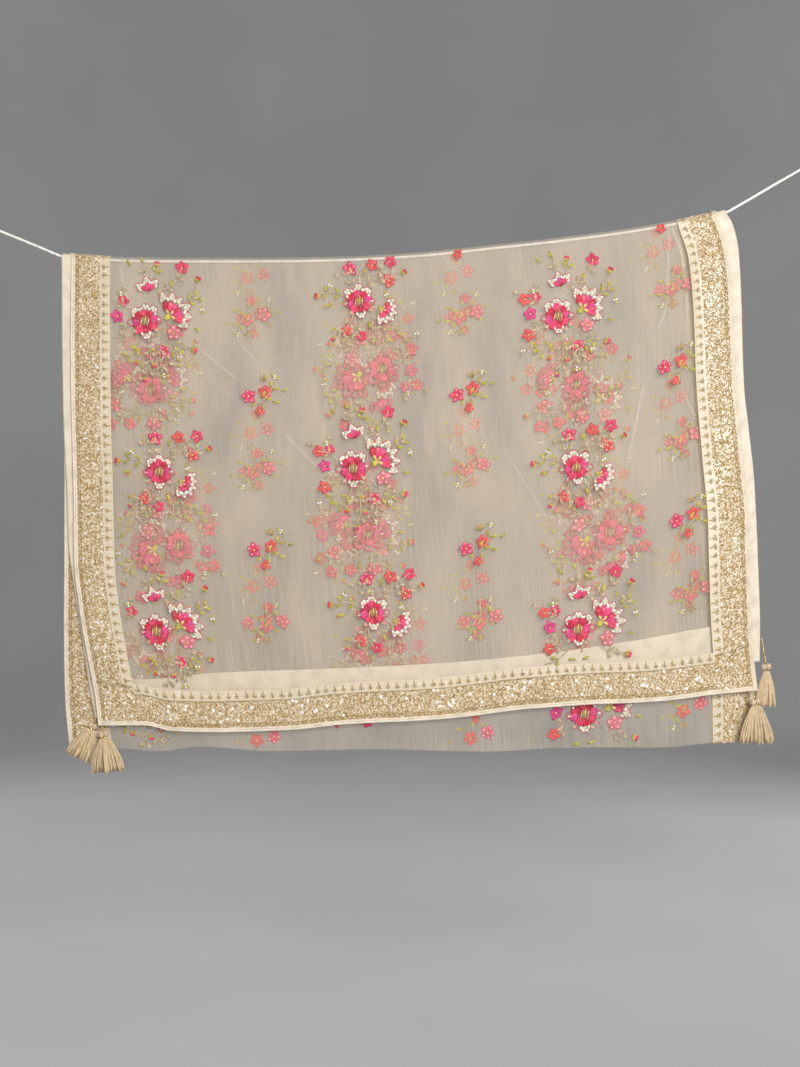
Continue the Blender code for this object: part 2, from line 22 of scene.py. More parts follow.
import bpy
import numpy as np
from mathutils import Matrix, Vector

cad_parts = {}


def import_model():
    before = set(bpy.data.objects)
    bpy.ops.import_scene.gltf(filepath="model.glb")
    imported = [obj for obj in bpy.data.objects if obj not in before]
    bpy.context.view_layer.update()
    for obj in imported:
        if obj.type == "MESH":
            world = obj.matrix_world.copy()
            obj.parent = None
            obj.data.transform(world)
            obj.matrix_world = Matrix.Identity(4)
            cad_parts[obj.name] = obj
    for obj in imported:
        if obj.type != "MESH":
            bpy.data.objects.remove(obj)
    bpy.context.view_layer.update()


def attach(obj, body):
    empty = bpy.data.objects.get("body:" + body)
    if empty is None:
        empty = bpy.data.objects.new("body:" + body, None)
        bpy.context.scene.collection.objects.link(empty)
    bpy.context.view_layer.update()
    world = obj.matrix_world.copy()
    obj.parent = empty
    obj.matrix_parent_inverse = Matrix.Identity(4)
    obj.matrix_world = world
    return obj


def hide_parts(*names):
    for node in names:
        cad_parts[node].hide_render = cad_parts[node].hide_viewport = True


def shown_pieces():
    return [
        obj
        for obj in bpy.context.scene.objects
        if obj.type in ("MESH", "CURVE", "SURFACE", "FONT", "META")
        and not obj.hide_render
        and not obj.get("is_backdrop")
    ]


log = logging.getLogger("stole")

Piece = bpy.types.Object
Material = bpy.types.Material
Socket = bpy.types.NodeSocket

BODY = "root"


def table(kind: Callable, *rows: tuple) -> tuple:
    """Rows of one kind, from their plain values."""
    return tuple(kind(*row) for row in rows)


# ---------------------------------------------------------------- the cloth, as it is cut and sewn
CLOTH_WIDTH = 0.915
BORDER_WIDTH = 0.055  # the gold band and its piping together
PIPING_WIDTH = 0.006
PIPING_SHOWING = 0.0015  # the rolled edge that stands out past a facing
CLOTH_WALL = 0.001
SEAM_GAP = 0.0003
FACING_LIFT = CLOTH_WALL + SEAM_GAP
BAND_FROM = PIPING_WIDTH + SEAM_GAP
SEAM_TUCK = 0.002  # how far the net runs in under a border

# ---------------------------------------------------------------- the string and its wall eyes
STRING_RADIUS = 0.00175
STRING_Y = -0.030
RIGHT_EYE_X = 1.1310
RING_RADIUS = 0.006
WIRE_RADIUS = 0.0015
SLANT_ROOM = 1.25  # the string's half height where it slants through a ring, over its radius
KNOT_RADIUS = 0.0055
KNOT_OFFSET = 0.0060
AWAY = np.array([0.0, 1.0, 0.0])  # square to the wall
KNOT_FACE = 0.92  # from the knot's middle to the string's end, over the knot's radius
STRING_SEAT = RING_RADIUS - WIRE_RADIUS - SLANT_ROOM * STRING_RADIUS - SEAM_GAP
STRING_TUCK = KNOT_OFFSET - KNOT_FACE * KNOT_RADIUS - SEAM_GAP


class RoutePoint(NamedTuple):
    """A point of the string's middle."""

    x: float
    z: float


STRING_ROUTE = table(
    RoutePoint, (0.0, -STRING_SEAT), (0.0295, -0.0136), (0.0700, -0.0300), (0.0950, -0.0405),
    (0.1050, -0.0448), (0.1115, -0.0473), (0.1190, -0.0483), (0.1500, -0.0508), (0.2170, -0.0540),
    (0.3240, -0.0545), (0.4300, -0.0540), (0.5000, -0.0522), (0.5950, -0.0466), (0.6940, -0.0364),
    (0.7970, -0.0250), (0.8820, -0.0134), (0.9410, -0.0028), (0.9840, 0.0068), (0.9980, 0.0100),
    (1.0060, 0.0129), (1.0130, 0.0169), (1.0340, 0.0290), (1.0720, 0.0514), (1.1015, 0.0682),
    (RIGHT_EYE_X, 0.0850)
)


# ---------------------------------------------------------------- how each stretch hangs
class EdgeRow(NamedTuple):
    """The two side edges of a stretch, at a share of the way down from the string."""

    share: float
    left_x: float
    right_x: float


class HemRow(NamedTuple):
    """The lower edge of a stretch, at a share of the way across it."""

    across: float
    z: float


class Fold(NamedTuple):
    """A soft fold that stands out from a stretch, and where it runs."""

    x: float
    half_width: float
    rise: float
    starts: float
    full: float
    lean: float


class Crease(NamedTuple):
    """A pressed line or a narrow slack fold between two places on the hanging cloth."""

    x: float
    z: float
    to_x: float
    to_z: float
    half_width: float
    rise: float


INNER_TURN = STRING_RADIUS + SEAM_GAP + CLOTH_WALL / 2
OUTER_TURN = INNER_TURN + FACING_LIFT + CLOTH_WALL + SEAM_GAP
LAYER_SPREAD = 0.0026
LAYER_SPREAD_DROP = 0.080
RIPPLE_STARTS = 0.006  # below the string
RIPPLE_FULL = 0.070
FOLD_CALM = 0.030  # ripples die out this far above the bottom fold

BOTTOM_FOLD = table(
    HemRow, (0.00, -0.7050), (0.08, -0.7060), (0.13, -0.7095), (0.19, -0.7030), (0.30, -0.7088),
    (0.45, -0.7070), (0.60, -0.7090), (0.71, -0.7050), (0.87, -0.7035), (0.95, -0.6975), (1.00, -0.6968)
)


@dataclass(frozen=True)
class Stretch:
    """One hanging stretch of the cloth, between the string and its hem or the bottom fold."""

    name: str
    side: int  # -1 in front of the string, +1 behind it
    right_side: int  # which way the cloth's right side faces: -1 towards the front, +1 to the wall
    turn: float
    edges: tuple[EdgeRow, ...]
    hem: tuple[HemRow, ...]
    has_hem: bool
    folds: tuple[Fold, ...]
    creases: tuple[Crease, ...]
    ripple: float
    ripple_phase: float
    seed: int


FRONT_INNER_FOLDS = table(
    Fold, (0.190, 0.075, 0.0020, 0.030, 0.300, -0.02), (0.450, 0.090, 0.0030, 0.040, 0.350, 0.05),
    (0.760, 0.085, 0.0025, 0.020, 0.260, 0.04), (1.010, 0.070, 0.0020, 0.020, 0.300, 0.00)
)
FRONT_OUTER_FOLDS = table(
    Fold, (0.135, 0.060, 0.0085, 0.250, 0.640, 0.06), (0.330, 0.075, 0.0035, 0.060, 0.400, -0.10),
    (0.560, 0.080, 0.0040, 0.080, 0.450, 0.03), (0.760, 0.070, 0.0035, 0.060, 0.400, -0.05),
    (0.925, 0.055, 0.0055, 0.015, 0.160, -0.08), (1.015, 0.065, 0.0060, 0.200, 0.620, 0.03)
)
BACK_INNER_FOLDS = table(
    Fold, (0.260, 0.080, 0.0030, 0.030, 0.350, 0.03), (0.520, 0.085, 0.0022, 0.040, 0.300, -0.04),
    (0.780, 0.080, 0.0032, 0.030, 0.400, 0.05), (1.000, 0.070, 0.0020, 0.040, 0.500, 0.02)
)
BACK_OUTER_FOLDS = table(
    Fold, (0.380, 0.085, 0.0022, 0.060, 0.300, -0.05), (0.680, 0.090, 0.0026, 0.050, 0.320, 0.04),
    (0.900, 0.075, 0.0020, 0.040, 0.260, 0.03)
)

FRONT_OUTER = Stretch(
    name="front_outer", side=-1, right_side=-1, turn=OUTER_TURN,
    edges=table(
        EdgeRow, (0.00, 0.1260, 0.9880), (0.08, 0.1260, 1.0025), (0.20, 0.1260, 1.0095),
        (0.35, 0.1272, 1.0130), (0.50, 0.1300, 1.0210), (0.65, 0.1318, 1.0295), (0.75, 0.1390, 1.0305),
        (0.85, 0.1505, 1.0320), (0.95, 0.1620, 1.0365), (1.00, 0.1655, 1.0405)
    ),
    hem=table(
        HemRow, (0.00, -0.6730), (0.07, -0.6735), (0.11, -0.6815), (0.18, -0.6835), (0.29, -0.6807),
        (0.37, -0.6730), (0.52, -0.6660), (0.66, -0.6515), (0.74, -0.6466), (0.86, -0.6415),
        (0.94, -0.6325), (1.00, -0.6271)
    ),
    has_hem=True, folds=FRONT_OUTER_FOLDS,
    creases=table(
        Crease, (0.2948, -0.1702, 0.3497, -0.2157, 0.0022, 0.0011),
        (0.4047, -0.2801, 0.4583, -0.3337, 0.0022, 0.0011),
        (0.8911, -0.2131, 0.8670, -0.3296, 0.0022, 0.0010),
        (0.9407, -0.2278, 0.9581, -0.2640, 0.0022, 0.0010),
        (0.1912, -0.0576, 0.2020, -0.1150, 0.0030, 0.0009),
        (0.9262, -0.0025, 0.9206, -0.1072, 0.0022, 0.0010),
        (0.9269, -0.0027, 0.9443, -0.0576, 0.0022, 0.0010),
        (0.9233, -0.1072, 0.9081, -0.1510, 0.0022, 0.0010),
        (0.9661, -0.1541, 1.0037, -0.1380, 0.0030, -0.0026),
        (0.8960, -0.0300, 0.9090, -0.3900, 0.0090, 0.0018),
        (0.9220, -0.0200, 0.9330, -0.3300, 0.0070, -0.0012),
        (0.9450, -0.0250, 0.9560, -0.2500, 0.0080, 0.0016),
        (0.2645, -0.6260, 0.2625, -0.6810, 0.0110, 0.0032),
        (0.6100, -0.0900, 0.7100, -0.3900, 0.0160, 0.0012),
        (0.2100, -0.2500, 0.2350, -0.5900, 0.0140, 0.0013),
        (0.4700, -0.4200, 0.4950, -0.6500, 0.0120, 0.0013),
        (0.7400, -0.4600, 0.7250, -0.6300, 0.0110, -0.0010)
    ),
    ripple=0.0007, ripple_phase=0.4, seed=11
)

FRONT_INNER = Stretch(
    name="front_inner", side=-1, right_side=1, turn=INNER_TURN,
    edges=table(
        EdgeRow, (0.00, 0.1126, 1.0015), (0.03, 0.1128, 1.0100), (0.10, 0.1130, 1.0185),
        (0.22, 0.1135, 1.0222), (0.40, 0.1165, 1.0255), (0.50, 0.1200, 1.0320), (0.62, 0.1220, 1.0395),
        (0.72, 0.1300, 1.0425), (0.82, 0.1395, 1.0450), (0.92, 0.1490, 1.0470), (1.00, 0.1580, 1.0465)
    ),
    hem=table(
        HemRow, (0.00, -0.6646), (0.08, -0.6690), (0.19, -0.6605), (0.38, -0.6539), (0.52, -0.6479),
        (0.66, -0.6365), (0.82, -0.6164), (0.93, -0.5984), (1.00, -0.5896)
    ),
    has_hem=True, folds=FRONT_INNER_FOLDS,
    creases=table(
        Crease, (0.3400, -0.1500, 0.4300, -0.2600, 0.0030, 0.0009),
        (0.7000, -0.3000, 0.7700, -0.4100, 0.0030, -0.0009),
        (0.5300, -0.1100, 0.5600, -0.4500, 0.0140, 0.0012),
        (0.8600, -0.0900, 0.8800, -0.4600, 0.0120, 0.0013),
        (0.2600, -0.3300, 0.2750, -0.6200, 0.0130, -0.0011)
    ),
    ripple=0.0006, ripple_phase=1.7, seed=23
)

BACK_INNER = Stretch(
    name="back_inner", side=1, right_side=-1, turn=INNER_TURN,
    edges=table(
        EdgeRow, (0.00, 0.1152, 0.9970), (0.12, 0.1150, 1.0090), (0.30, 0.1146, 1.0190),
        (0.50, 0.1148, 1.0300), (0.75, 0.1142, 1.0380), (0.90, 0.1160, 1.0410), (1.00, 0.1215, 1.0412)
    ),
    hem=BOTTOM_FOLD, has_hem=False, folds=BACK_INNER_FOLDS,
    creases=table(
        Crease, (0.4300, -0.0900, 0.4000, -0.5200, 0.0150, 0.0013),
        (0.6500, -0.1300, 0.6900, -0.6300, 0.0130, -0.0010),
        (0.9000, -0.0600, 0.9200, -0.5700, 0.0120, 0.0012),
        (0.2000, -0.4300, 0.2600, -0.5200, 0.0030, 0.0009)
    ),
    ripple=0.0006, ripple_phase=2.9, seed=37
)

BACK_OUTER = Stretch(
    name="back_outer", side=1, right_side=1, turn=OUTER_TURN,
    edges=table(
        EdgeRow, (0.00, 0.1230, 0.9890), (0.12, 0.1222, 1.0010), (0.30, 0.1200, 1.0110),
        (0.50, 0.1192, 1.0220), (0.75, 0.1185, 1.0330), (0.90, 0.1190, 1.0390), (1.00, 0.1215, 1.0412)
    ),
    hem=BOTTOM_FOLD, has_hem=False, folds=BACK_OUTER_FOLDS,
    creases=table(
        Crease, (0.2900, -0.1900, 0.3600, -0.2500, 0.0025, 0.0011),
        (0.5600, -0.3300, 0.5100, -0.4200, 0.0025, 0.0010),
        (0.7800, -0.2300, 0.8300, -0.3200, 0.0025, 0.0011),
        (0.8500, -0.0400, 0.8700, -0.4400, 0.0100, 0.0018),
        (0.2200, -0.1000, 0.2400, -0.5400, 0.0130, 0.0016),
        (0.4700, -0.2700, 0.4500, -0.6200, 0.0120, 0.0014),
        (0.6600, -0.4300, 0.6750, -0.6600, 0.0110, 0.0012)
    ),
    ripple=0.0007, ripple_phase=4.1, seed=41
)


class SmoothCurve:
    """A smooth function through points, which never swings past them and runs on straight beyond."""

    def __init__(self, xs: Sequence[float], ys: Sequence[float]) -> None:
        """Fits the curve.

        Args:
            xs: where the points are, rising.
            ys: their values.
        """
        self.xs, self.ys = np.array(xs, float), np.array(ys, float)
        self.step = np.diff(self.xs)
        rise = np.diff(self.ys) / self.step
        before, after = rise[:-1], rise[1:]
        same_way = before * after > 0
        weighted = 3 * (self.step[:-1] + self.step[1:]) / np.where(
            same_way,
            (2 * self.step[1:] + self.step[:-1]) / np.where(same_way, before, 1)
            + (self.step[1:] + 2 * self.step[:-1]) / np.where(same_way, after, 1),
            1,
        )
        self.slopes = np.concatenate([[rise[0]], np.where(same_way, weighted, 0), [rise[-1]]])

    def __call__(self, x: np.ndarray | float) -> np.ndarray:
        """The curve's values at x.

        Args:
            x: one place or an array of them.

        Returns:
            The values, in the shape of x.
        """
        x = np.asarray(x, float)
        i = np.clip(np.searchsorted(self.xs, x) - 1, 0, len(self.xs) - 2)
        t = np.clip((x - self.xs[i]) / self.step[i], 0, 1)
        over = x - self.xs[i] - t * self.step[i]
        low, high = self.slopes[i] * self.step[i], self.slopes[i + 1] * self.step[i]
        smooth = (
            (2 * t**3 - 3 * t**2 + 1) * self.ys[i]
            + (t**3 - 2 * t**2 + t) * low
            + (3 * t**2 - 2 * t**3) * self.ys[i + 1]
            + (t**3 - t**2) * high
        )
        return smooth + over * np.where(over < 0, self.slopes[i], self.slopes[i + 1])


def ramp(value: np.ndarray, low: float, high: float) -> np.ndarray:
    """0 up to low, 1 from high, and a smooth rise between."""
    t = np.clip((value - low) / (high - low), 0.0, 1.0)
    return t * t * (3 - 2 * t)


string_z = SmoothCurve([p.x for p in STRING_ROUTE], [p.z for p in STRING_ROUTE])


def folds_rise(folds: Sequence[Fold], x: np.ndarray, drop: np.ndarray) -> np.ndarray:
    """How far the folds stand out, at places across and drops below the string."""
    rise = np.zeros_like(x)
    for fold in folds:
        away = (x - fold.x - fold.lean * drop) / fold.half_width
        rise += fold.rise * np.exp(-(away**2)) * ramp(drop, fold.starts, fold.full)
    return rise


class HungStretch:
    """A stretch with its edges as functions: where any point of it hangs."""

    def __init__(self, stretch: Stretch) -> None:
        """Reads the stretch's tables.

        Args:
            stretch: the stretch and its tables.
        """
        self.stretch = stretch
        shares = [row.share for row in stretch.edges]
        self.left = SmoothCurve(shares, [row.left_x for row in stretch.edges])
        self.right = SmoothCurve(shares, [row.right_x for row in stretch.edges])
        self.hem = SmoothCurve([row.across for row in stretch.hem], [row.z for row in stretch.hem])
        self.quarter = stretch.turn * math.pi / 2
        self.outer = stretch.turn > INNER_TURN
        # What shows to the front, through the outer net, is its wrong side
        self.shows_wrong_side = not self.outer and stretch.right_side > 0

    def x_at(self, across: np.ndarray, share: np.ndarray) -> np.ndarray:
        """X at shares of the way across and down."""
        left, right = self.left(share), self.right(share)
        return left + (right - left) * across

    def drop_length(self, across: np.ndarray) -> np.ndarray:
        """The way down from the string's middle to the lower edge."""
        return string_z(self.x_at(across, 0.5)) - self.hem(across)

    def length(self, across: np.ndarray) -> np.ndarray:
        """The way along the cloth from the top of the turn to the lower edge."""
        return self.quarter + self.drop_length(across)

    def fold_radius(self, across: np.ndarray) -> np.ndarray:
        """The bottom fold's radius."""
        x = self.x_at(across, np.ones_like(across))
        drop = string_z(x) - self.hem(across)
        return (self.depth(x, drop, outer=True) - self.depth(x, drop, outer=False)) / 2

    def cut_length(self, across: np.ndarray) -> np.ndarray:
        """The length, with this stretch's share of the bottom fold where it has no hem."""
        length = self.length(across)
        return length if self.stretch.has_hem else length + self.fold_radius(across) * math.pi / 2

    def depth(self, x: np.ndarray, drop: np.ndarray, outer: bool) -> np.ndarray:
        """How far a layer's middle is from the string's own plane, its fine creases left out.

        Args:
            x: places across.
            drop: drops below the string.
            outer: the outer layer of the two on this side of the string.

        Returns:
            Depths, in metres.
        """
        front = self.stretch.side < 0
        reach = INNER_TURN + folds_rise(FRONT_INNER_FOLDS if front else BACK_INNER_FOLDS, x, drop)
        if outer:
            reach += OUTER_TURN - INNER_TURN + LAYER_SPREAD * ramp(drop, 0.0, LAYER_SPREAD_DROP)
            reach += folds_rise(FRONT_OUTER_FOLDS if front else BACK_OUTER_FOLDS, x, drop)
        return reach

    def fine(self, x: np.ndarray, z: np.ndarray, drop: np.ndarray) -> np.ndarray:
        """The stretch's own creases and ripples, outwards from the string."""
        cloth = self.stretch
        phase = cloth.ripple_phase
        wave = np.sin(x * 62 + z * 9 + phase) * np.sin(z * 15 - x * 7 + 2.1 * phase)
        wave += 0.55 * np.sin(x * 131 - z * 21 + 3.3 * phase)
        wave += 0.35 * np.sin(x * 38 + z * 64 + 0.7 * phase)
        rise = cloth.ripple * wave
        for crease in cloth.creases:
            run = np.array([crease.to_x - crease.x, crease.to_z - crease.z])
            length = float(np.hypot(*run))
            along = ((x - crease.x) * run[0] + (z - crease.z) * run[1]) / length**2
            aside = ((x - crease.x) * run[1] - (z - crease.z) * run[0]) / length
            ends = ramp(along, -0.12, 0.15) * ramp(1 - along, -0.12, 0.15)
            rise += crease.rise * np.exp(-((aside / crease.half_width) ** 2)) * ends
        calm = ramp(drop, RIPPLE_STARTS, RIPPLE_FULL)
        if not cloth.has_hem:
            calm = calm * ramp(z - BOTTOM_FOLD[2].z, 0.010, 0.010 + FOLD_CALM)
        return rise * calm

    def hang(self, points: np.ndarray) -> np.ndarray:
        """Takes flat points to where the cloth carries them.

        Args:
            points: rows of (across from the left edge, up, off the right side), in metres.

        Returns:
            Rows of (x, y, z) in the object's frame.
        """
        cloth = self.stretch
        across, down = points[:, 0] / CLOTH_WIDTH, -points[:, 1]
        lift = points[:, 2] * cloth.right_side * cloth.side
        drop_length = self.drop_length(across)
        share = (down - self.quarter) / drop_length
        # over the string
        x = self.x_at(across, np.zeros_like(across))
        angle = down / cloth.turn
        slope = (string_z(x + STRING_RADIUS) - string_z(x - STRING_RADIUS)) / (2 * STRING_RADIUS)
        over = np.stack([
            x,
            STRING_Y + cloth.side * (cloth.turn + lift) * np.sin(angle),
            string_z(x) + (cloth.turn + lift) * np.cos(angle) * np.hypot(1, slope),
        ], axis=1)
        # down the drop
        kept = np.clip(share, 0.0, None if cloth.has_hem else 1.0)
        x = self.x_at(across, kept)
        top = string_z(x)
        z = top - kept * (top - self.hem(across))
        depth = self.depth(x, top - z, self.outer) + self.fine(x, z, top - z) + lift
        below = np.stack([x, STRING_Y + cloth.side * depth, z], axis=1)
        hung = np.where((down < self.quarter)[:, None], over, below)
        if not cloth.has_hem:
            inner = self.depth(x, top - z, outer=False)
            outer = self.depth(x, top - z, outer=True)
            radius = (outer - inner) / 2
            turned = (down - self.quarter - drop_length) / radius
            reach = (radius + lift * (1 if self.outer else -1))
            toward = 1 if self.outer else -1
            fold = np.stack([
                x,
                STRING_Y + (inner + outer) / 2 + toward * reach * np.cos(turned),
                self.hem(across) - reach * np.sin(turned),
            ], axis=1)
            hung = np.where((turned > 0)[:, None], fold, hung)
        return hung

    def on_net(self, spot: tuple[float, float], margin: float) -> bool:
        """Whether a flat place lies on the net, clear of the borders, the string and the fold."""
        across = np.array([spot[0] / CLOTH_WIDTH])
        foot = float(self.length(across)[0])
        if self.stretch.has_hem:
            foot -= BORDER_WIDTH
        return (
            BORDER_WIDTH + margin < spot[0] < CLOTH_WIDTH - BORDER_WIDTH - margin
            and margin + (0.002 if self.outer else 0.010) < -spot[1] < foot - margin
        )


# ---------------------------------------------------------------- the workbench
def deselect() -> None:
    """Nothing is selected, in object mode."""
    if bpy.context.object is not None and bpy.context.object.mode != "OBJECT":
        bpy.ops.object.mode_set(mode="OBJECT")
    bpy.ops.object.select_all(action="DESELECT")


def taken(name: str) -> Piece:
    """The object that an operator has just added, named and with its mesh named for it."""
    piece = bpy.context.object
    piece.name = name
    piece.data.name = name
    return piece


def pick(piece: Piece) -> None:
    """Only that piece is selected and active."""
    deselect()
    piece.select_set(True)
    bpy.context.view_layer.objects.active = piece


def settle(piece: Piece) -> None:
    """Applies the piece's place, turn, size and modifiers to its mesh."""
    pick(piece)
    bpy.ops.object.transform_apply(location=True, rotation=True, scale=True)
    for modifier in list(piece.modifiers):
        bpy.ops.object.modifier_apply(modifier=modifier.name)


def mesh_points(piece: Piece) -> np.ndarray:
    """The mesh's points as rows of (x, y, z)."""
    points = np.zeros(len(piece.data.vertices) * 3)
    piece.data.vertices.foreach_get("co", points)
    return points.reshape(-1, 3)


def move_points(piece: Piece, points: np.ndarray) -> None:
    """Puts the mesh's points at new places."""
    piece.data.vertices.foreach_set("co", points.astype(np.float32).ravel())
    piece.data.update()


def lay_uv(piece: Piece, places: np.ndarray) -> None:
    """Gives the mesh a UV map from one (u, v) place for each of its points."""
    layer = piece.data.uv_layers.get("cloth") or piece.data.uv_layers.new(name="cloth")
    corners = np.zeros(len(piece.data.loops), np.int32)
    piece.data.loops.foreach_get("vertex_index", corners)
    layer.data.foreach_set("uv", places[corners].astype(np.float32).ravel())


def lay_floss(piece: Piece, colours: np.ndarray) -> None:
    """Gives each of the mesh's points its own thread colour, from rows of (r, g, b, 1)."""
    floss = piece.data.attributes.new("floss", "FLOAT_COLOR", "POINT")
    floss.data.foreach_set("color", colours.astype(np.float32).ravel())


@contextmanager
def all_in_hand(piece: Piece) -> Iterator[None]:
    """Holds the whole of a piece in edit mode."""
    pick(piece)
    bpy.ops.object.mode_set(mode="EDIT")
    bpy.ops.mesh.select_all(action="SELECT")
    yield
    bpy.ops.object.mode_set(mode="OBJECT")
    deselect()


def flip_faces(piece: Piece) -> None:
    """Turns every face of the piece round."""
    with all_in_hand(piece):
        bpy.ops.mesh.flip_normals()


def face_out(piece: Piece) -> None:
    """Turns a closed piece's faces outwards."""
    with all_in_hand(piece):
        bpy.ops.mesh.normals_make_consistent(inside=False)


def smooth(piece: Piece, angle: float = 60.0) -> None:
    """Shades the piece smooth, with edges sharper than the angle left crisp."""
    pick(piece)
    bpy.ops.object.shade_smooth_by_angle(angle=math.radians(angle))
    deselect()


def thicken(piece: Piece, wall: float, inner_material: int = 0) -> None:
    """Gives a piece that is one face thick a wall, half of it to each side.

    Args:
        piece: the piece.
        wall: the wall's thickness.
        inner_material: how many slots further on its inner side's material stands.
    """
    solid = piece.modifiers.new("wall", "SOLIDIFY")
    solid.thickness = wall
    solid.offset = 0.0
    solid.material_offset = inner_material
    settle(piece)
    smooth(piece)


def dress(piece: Piece, *materials: Material, slot: str | None = None) -> Piece:
    """Gives a piece its materials and its body.

    Args:
        piece: the finished piece.
        materials: its materials, in the order of their slots.
        slot: not used.

    Returns:
        The piece.
    """
    for material in materials:
        piece.data.materials.append(material)
    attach(piece, BODY)
    deselect()
    log.info("%s: %d faces", piece.name, len(piece.data.polygons) if piece.type == "MESH" else 0)
    return piece


# ---------------------------------------------------------------- finishes
Colour = tuple[float, float, float]
NodeValue = Socket | float | Colour


def shaded(colour: Colour, by: float) -> Colour:
    """A colour made darker, or lighter up to white."""
    return tuple(min(1.0, by * channel) for channel in colour)


class Graph:
    """A material's nodes, added and joined by name."""

    MIX_INPUTS = (0, 6, 7)  # the Mix node's amount and its two colours
    MIX_OUTPUT = 2
    WAVE = 6.28  # lines a metre, over a wave texture's scale

    def __init__(self, name: str) -> None:
        """Starts a material with one Principled shader."""
        self.material = bpy.data.materials.new(name)
        self.material.use_nodes = True
        self.tree = self.material.node_tree
        self.shader = self.tree.nodes["Principled BSDF"]

    def feed(self, socket: Socket, value: NodeValue) -> None:
        """Joins an input to a socket, or sets it to a value or an opaque colour."""
        if isinstance(value, Socket):
            self.tree.links.new(value, socket)
        elif isinstance(value, tuple) and len(value) == 3 and socket.type == "RGBA":
            socket.default_value = (*value, 1.0)
        else:
            socket.default_value = value

    def put(self, node: bpy.types.Node, **inputs: NodeValue) -> bpy.types.Node:
        """Sets or joins a node's inputs, with _ for a space in their names."""
        for name, value in inputs.items():
            self.feed(node.inputs[name.replace("_", " ")], value)
        return node

    def add(self, kind: str, settings: dict | None = None, **inputs: NodeValue) -> bpy.types.Node:
        """Adds a node.

        Args:
            kind: the node's type without its ShaderNode.
            settings: properties of the node.
            inputs: its inputs, values or sockets.

        Returns:
            The node.
        """
        node = self.tree.nodes.new("ShaderNode" + kind)
        for name, value in (settings or {}).items():
            setattr(node, name, value)
        return self.put(node, **inputs)

    def uv(self, across: float = 1.0, along: float = 1.0) -> Socket:
        """The piece's own UV map in metres, stretched across and along."""
        source = self.add("UVMap", {"uv_map": "cloth"})
        scaled = self.add("Mapping", Vector=source.outputs["UV"], Scale=(across, along, 1.0))
        return scaled.outputs["Vector"]

    def object_place(self, scale: tuple[float, float, float] = (1, 1, 1)) -> Socket:
        """Object coordinates, stretched."""
        source = self.add("TexCoord")
        scaled = self.add("Mapping", Vector=source.outputs["Object"], Scale=scale)
        return scaled.outputs["Vector"]

    def noise(self, place: Socket, scale: float, detail: float = 2.0) -> Socket:
        """A noise value."""
        return self.add("TexNoise", Vector=place, Scale=scale, Detail=detail).outputs[0]

    def ramp(self, value: Socket, *stops: tuple[float, Colour]) -> Socket:
        """A colour for each value, through stops of (value, colour)."""
        node = self.add("ValToRGB", Fac=value)
        elements = node.color_ramp.elements
        for _ in range(len(stops) - 2):
            elements.new(0.5)
        for element, (place, colour) in zip(elements, stops):
            element.position = place
            element.color = (*colour, 1.0)
        return node.outputs["Color"]

    def between(
        self, value: Socket, low: float, high: float, start: float = 0.0, end: float = 1.0
    ) -> Socket:
        """A value that runs from start to end, taken to low to high."""
        node = self.add("MapRange", Value=value, From_Min=start, From_Max=end, To_Min=low, To_Max=high)
        return node.outputs["Result"]

    def blend(self, first: Socket, second: Socket, share: float) -> Socket:
        """Two values together, the first with the given share."""
        rest = self.math("MULTIPLY", second, 1 - share)
        return self.math("ADD", self.math("MULTIPLY", first, share), rest)

    def bands(self, place: Socket, lines: float, direction: str = "X", **inputs: NodeValue) -> Socket:
        """Bands in one direction, so many lines a metre."""
        settings = {"wave_type": "BANDS", "bands_direction": direction}
        return self.add("TexWave", settings, Vector=place, Scale=lines / self.WAVE, **inputs).outputs["Fac"]

    def math(self, operation: str, first: NodeValue, second: NodeValue = 0.0) -> Socket:
        """A sum of two values or sockets."""
        node = self.add("Math", {"operation": operation})
        for socket, value in zip(node.inputs, (first, second)):
            self.feed(socket, value)
        return node.outputs[0]

    def mix(self, kind: str, amount: NodeValue, first: NodeValue, second: NodeValue) -> Socket:
        """Two colours mixed.

        Args:
            kind: the blend type.
            amount: how much of it, a value or a socket.
            first: a colour or a socket.
            second: a colour or a socket.

        Returns:
            The mixed colour.
        """
        node = self.add("Mix", {"data_type": "RGBA", "blend_type": kind})
        for number, value in zip(self.MIX_INPUTS, (amount, first, second)):
            self.feed(node.inputs[number], value)
        return node.outputs[self.MIX_OUTPUT]

    def bump(self, height: Socket, depth: float) -> None:
        """Bumps the surface by a height, in metres of depth."""
        node = self.add("Bump", Height=height, Distance=depth, Strength=1.0)
        self.put(self.shader, Normal=node.outputs["Normal"])


@dataclass(frozen=True)
class Finish:
    """A surface's plain values, which each kind of finish works its own pattern into."""

    name: str
    colour: Colour
    roughness: float = 0.6
    metallic: float = 0.0
    sheen: float = 0.0

    def make(self) -> Material:
        """Builds the material."""
        graph = Graph(self.name)
        graph.put(
            graph.shader, Base_Color=self.colour, Roughness=self.roughness, Metallic=self.metallic,
            Sheen_Weight=self.sheen
        )
        self.pattern(graph)
        return graph.material

    def pattern(self, graph: Graph) -> None:
        """Works the finish's own pattern in."""


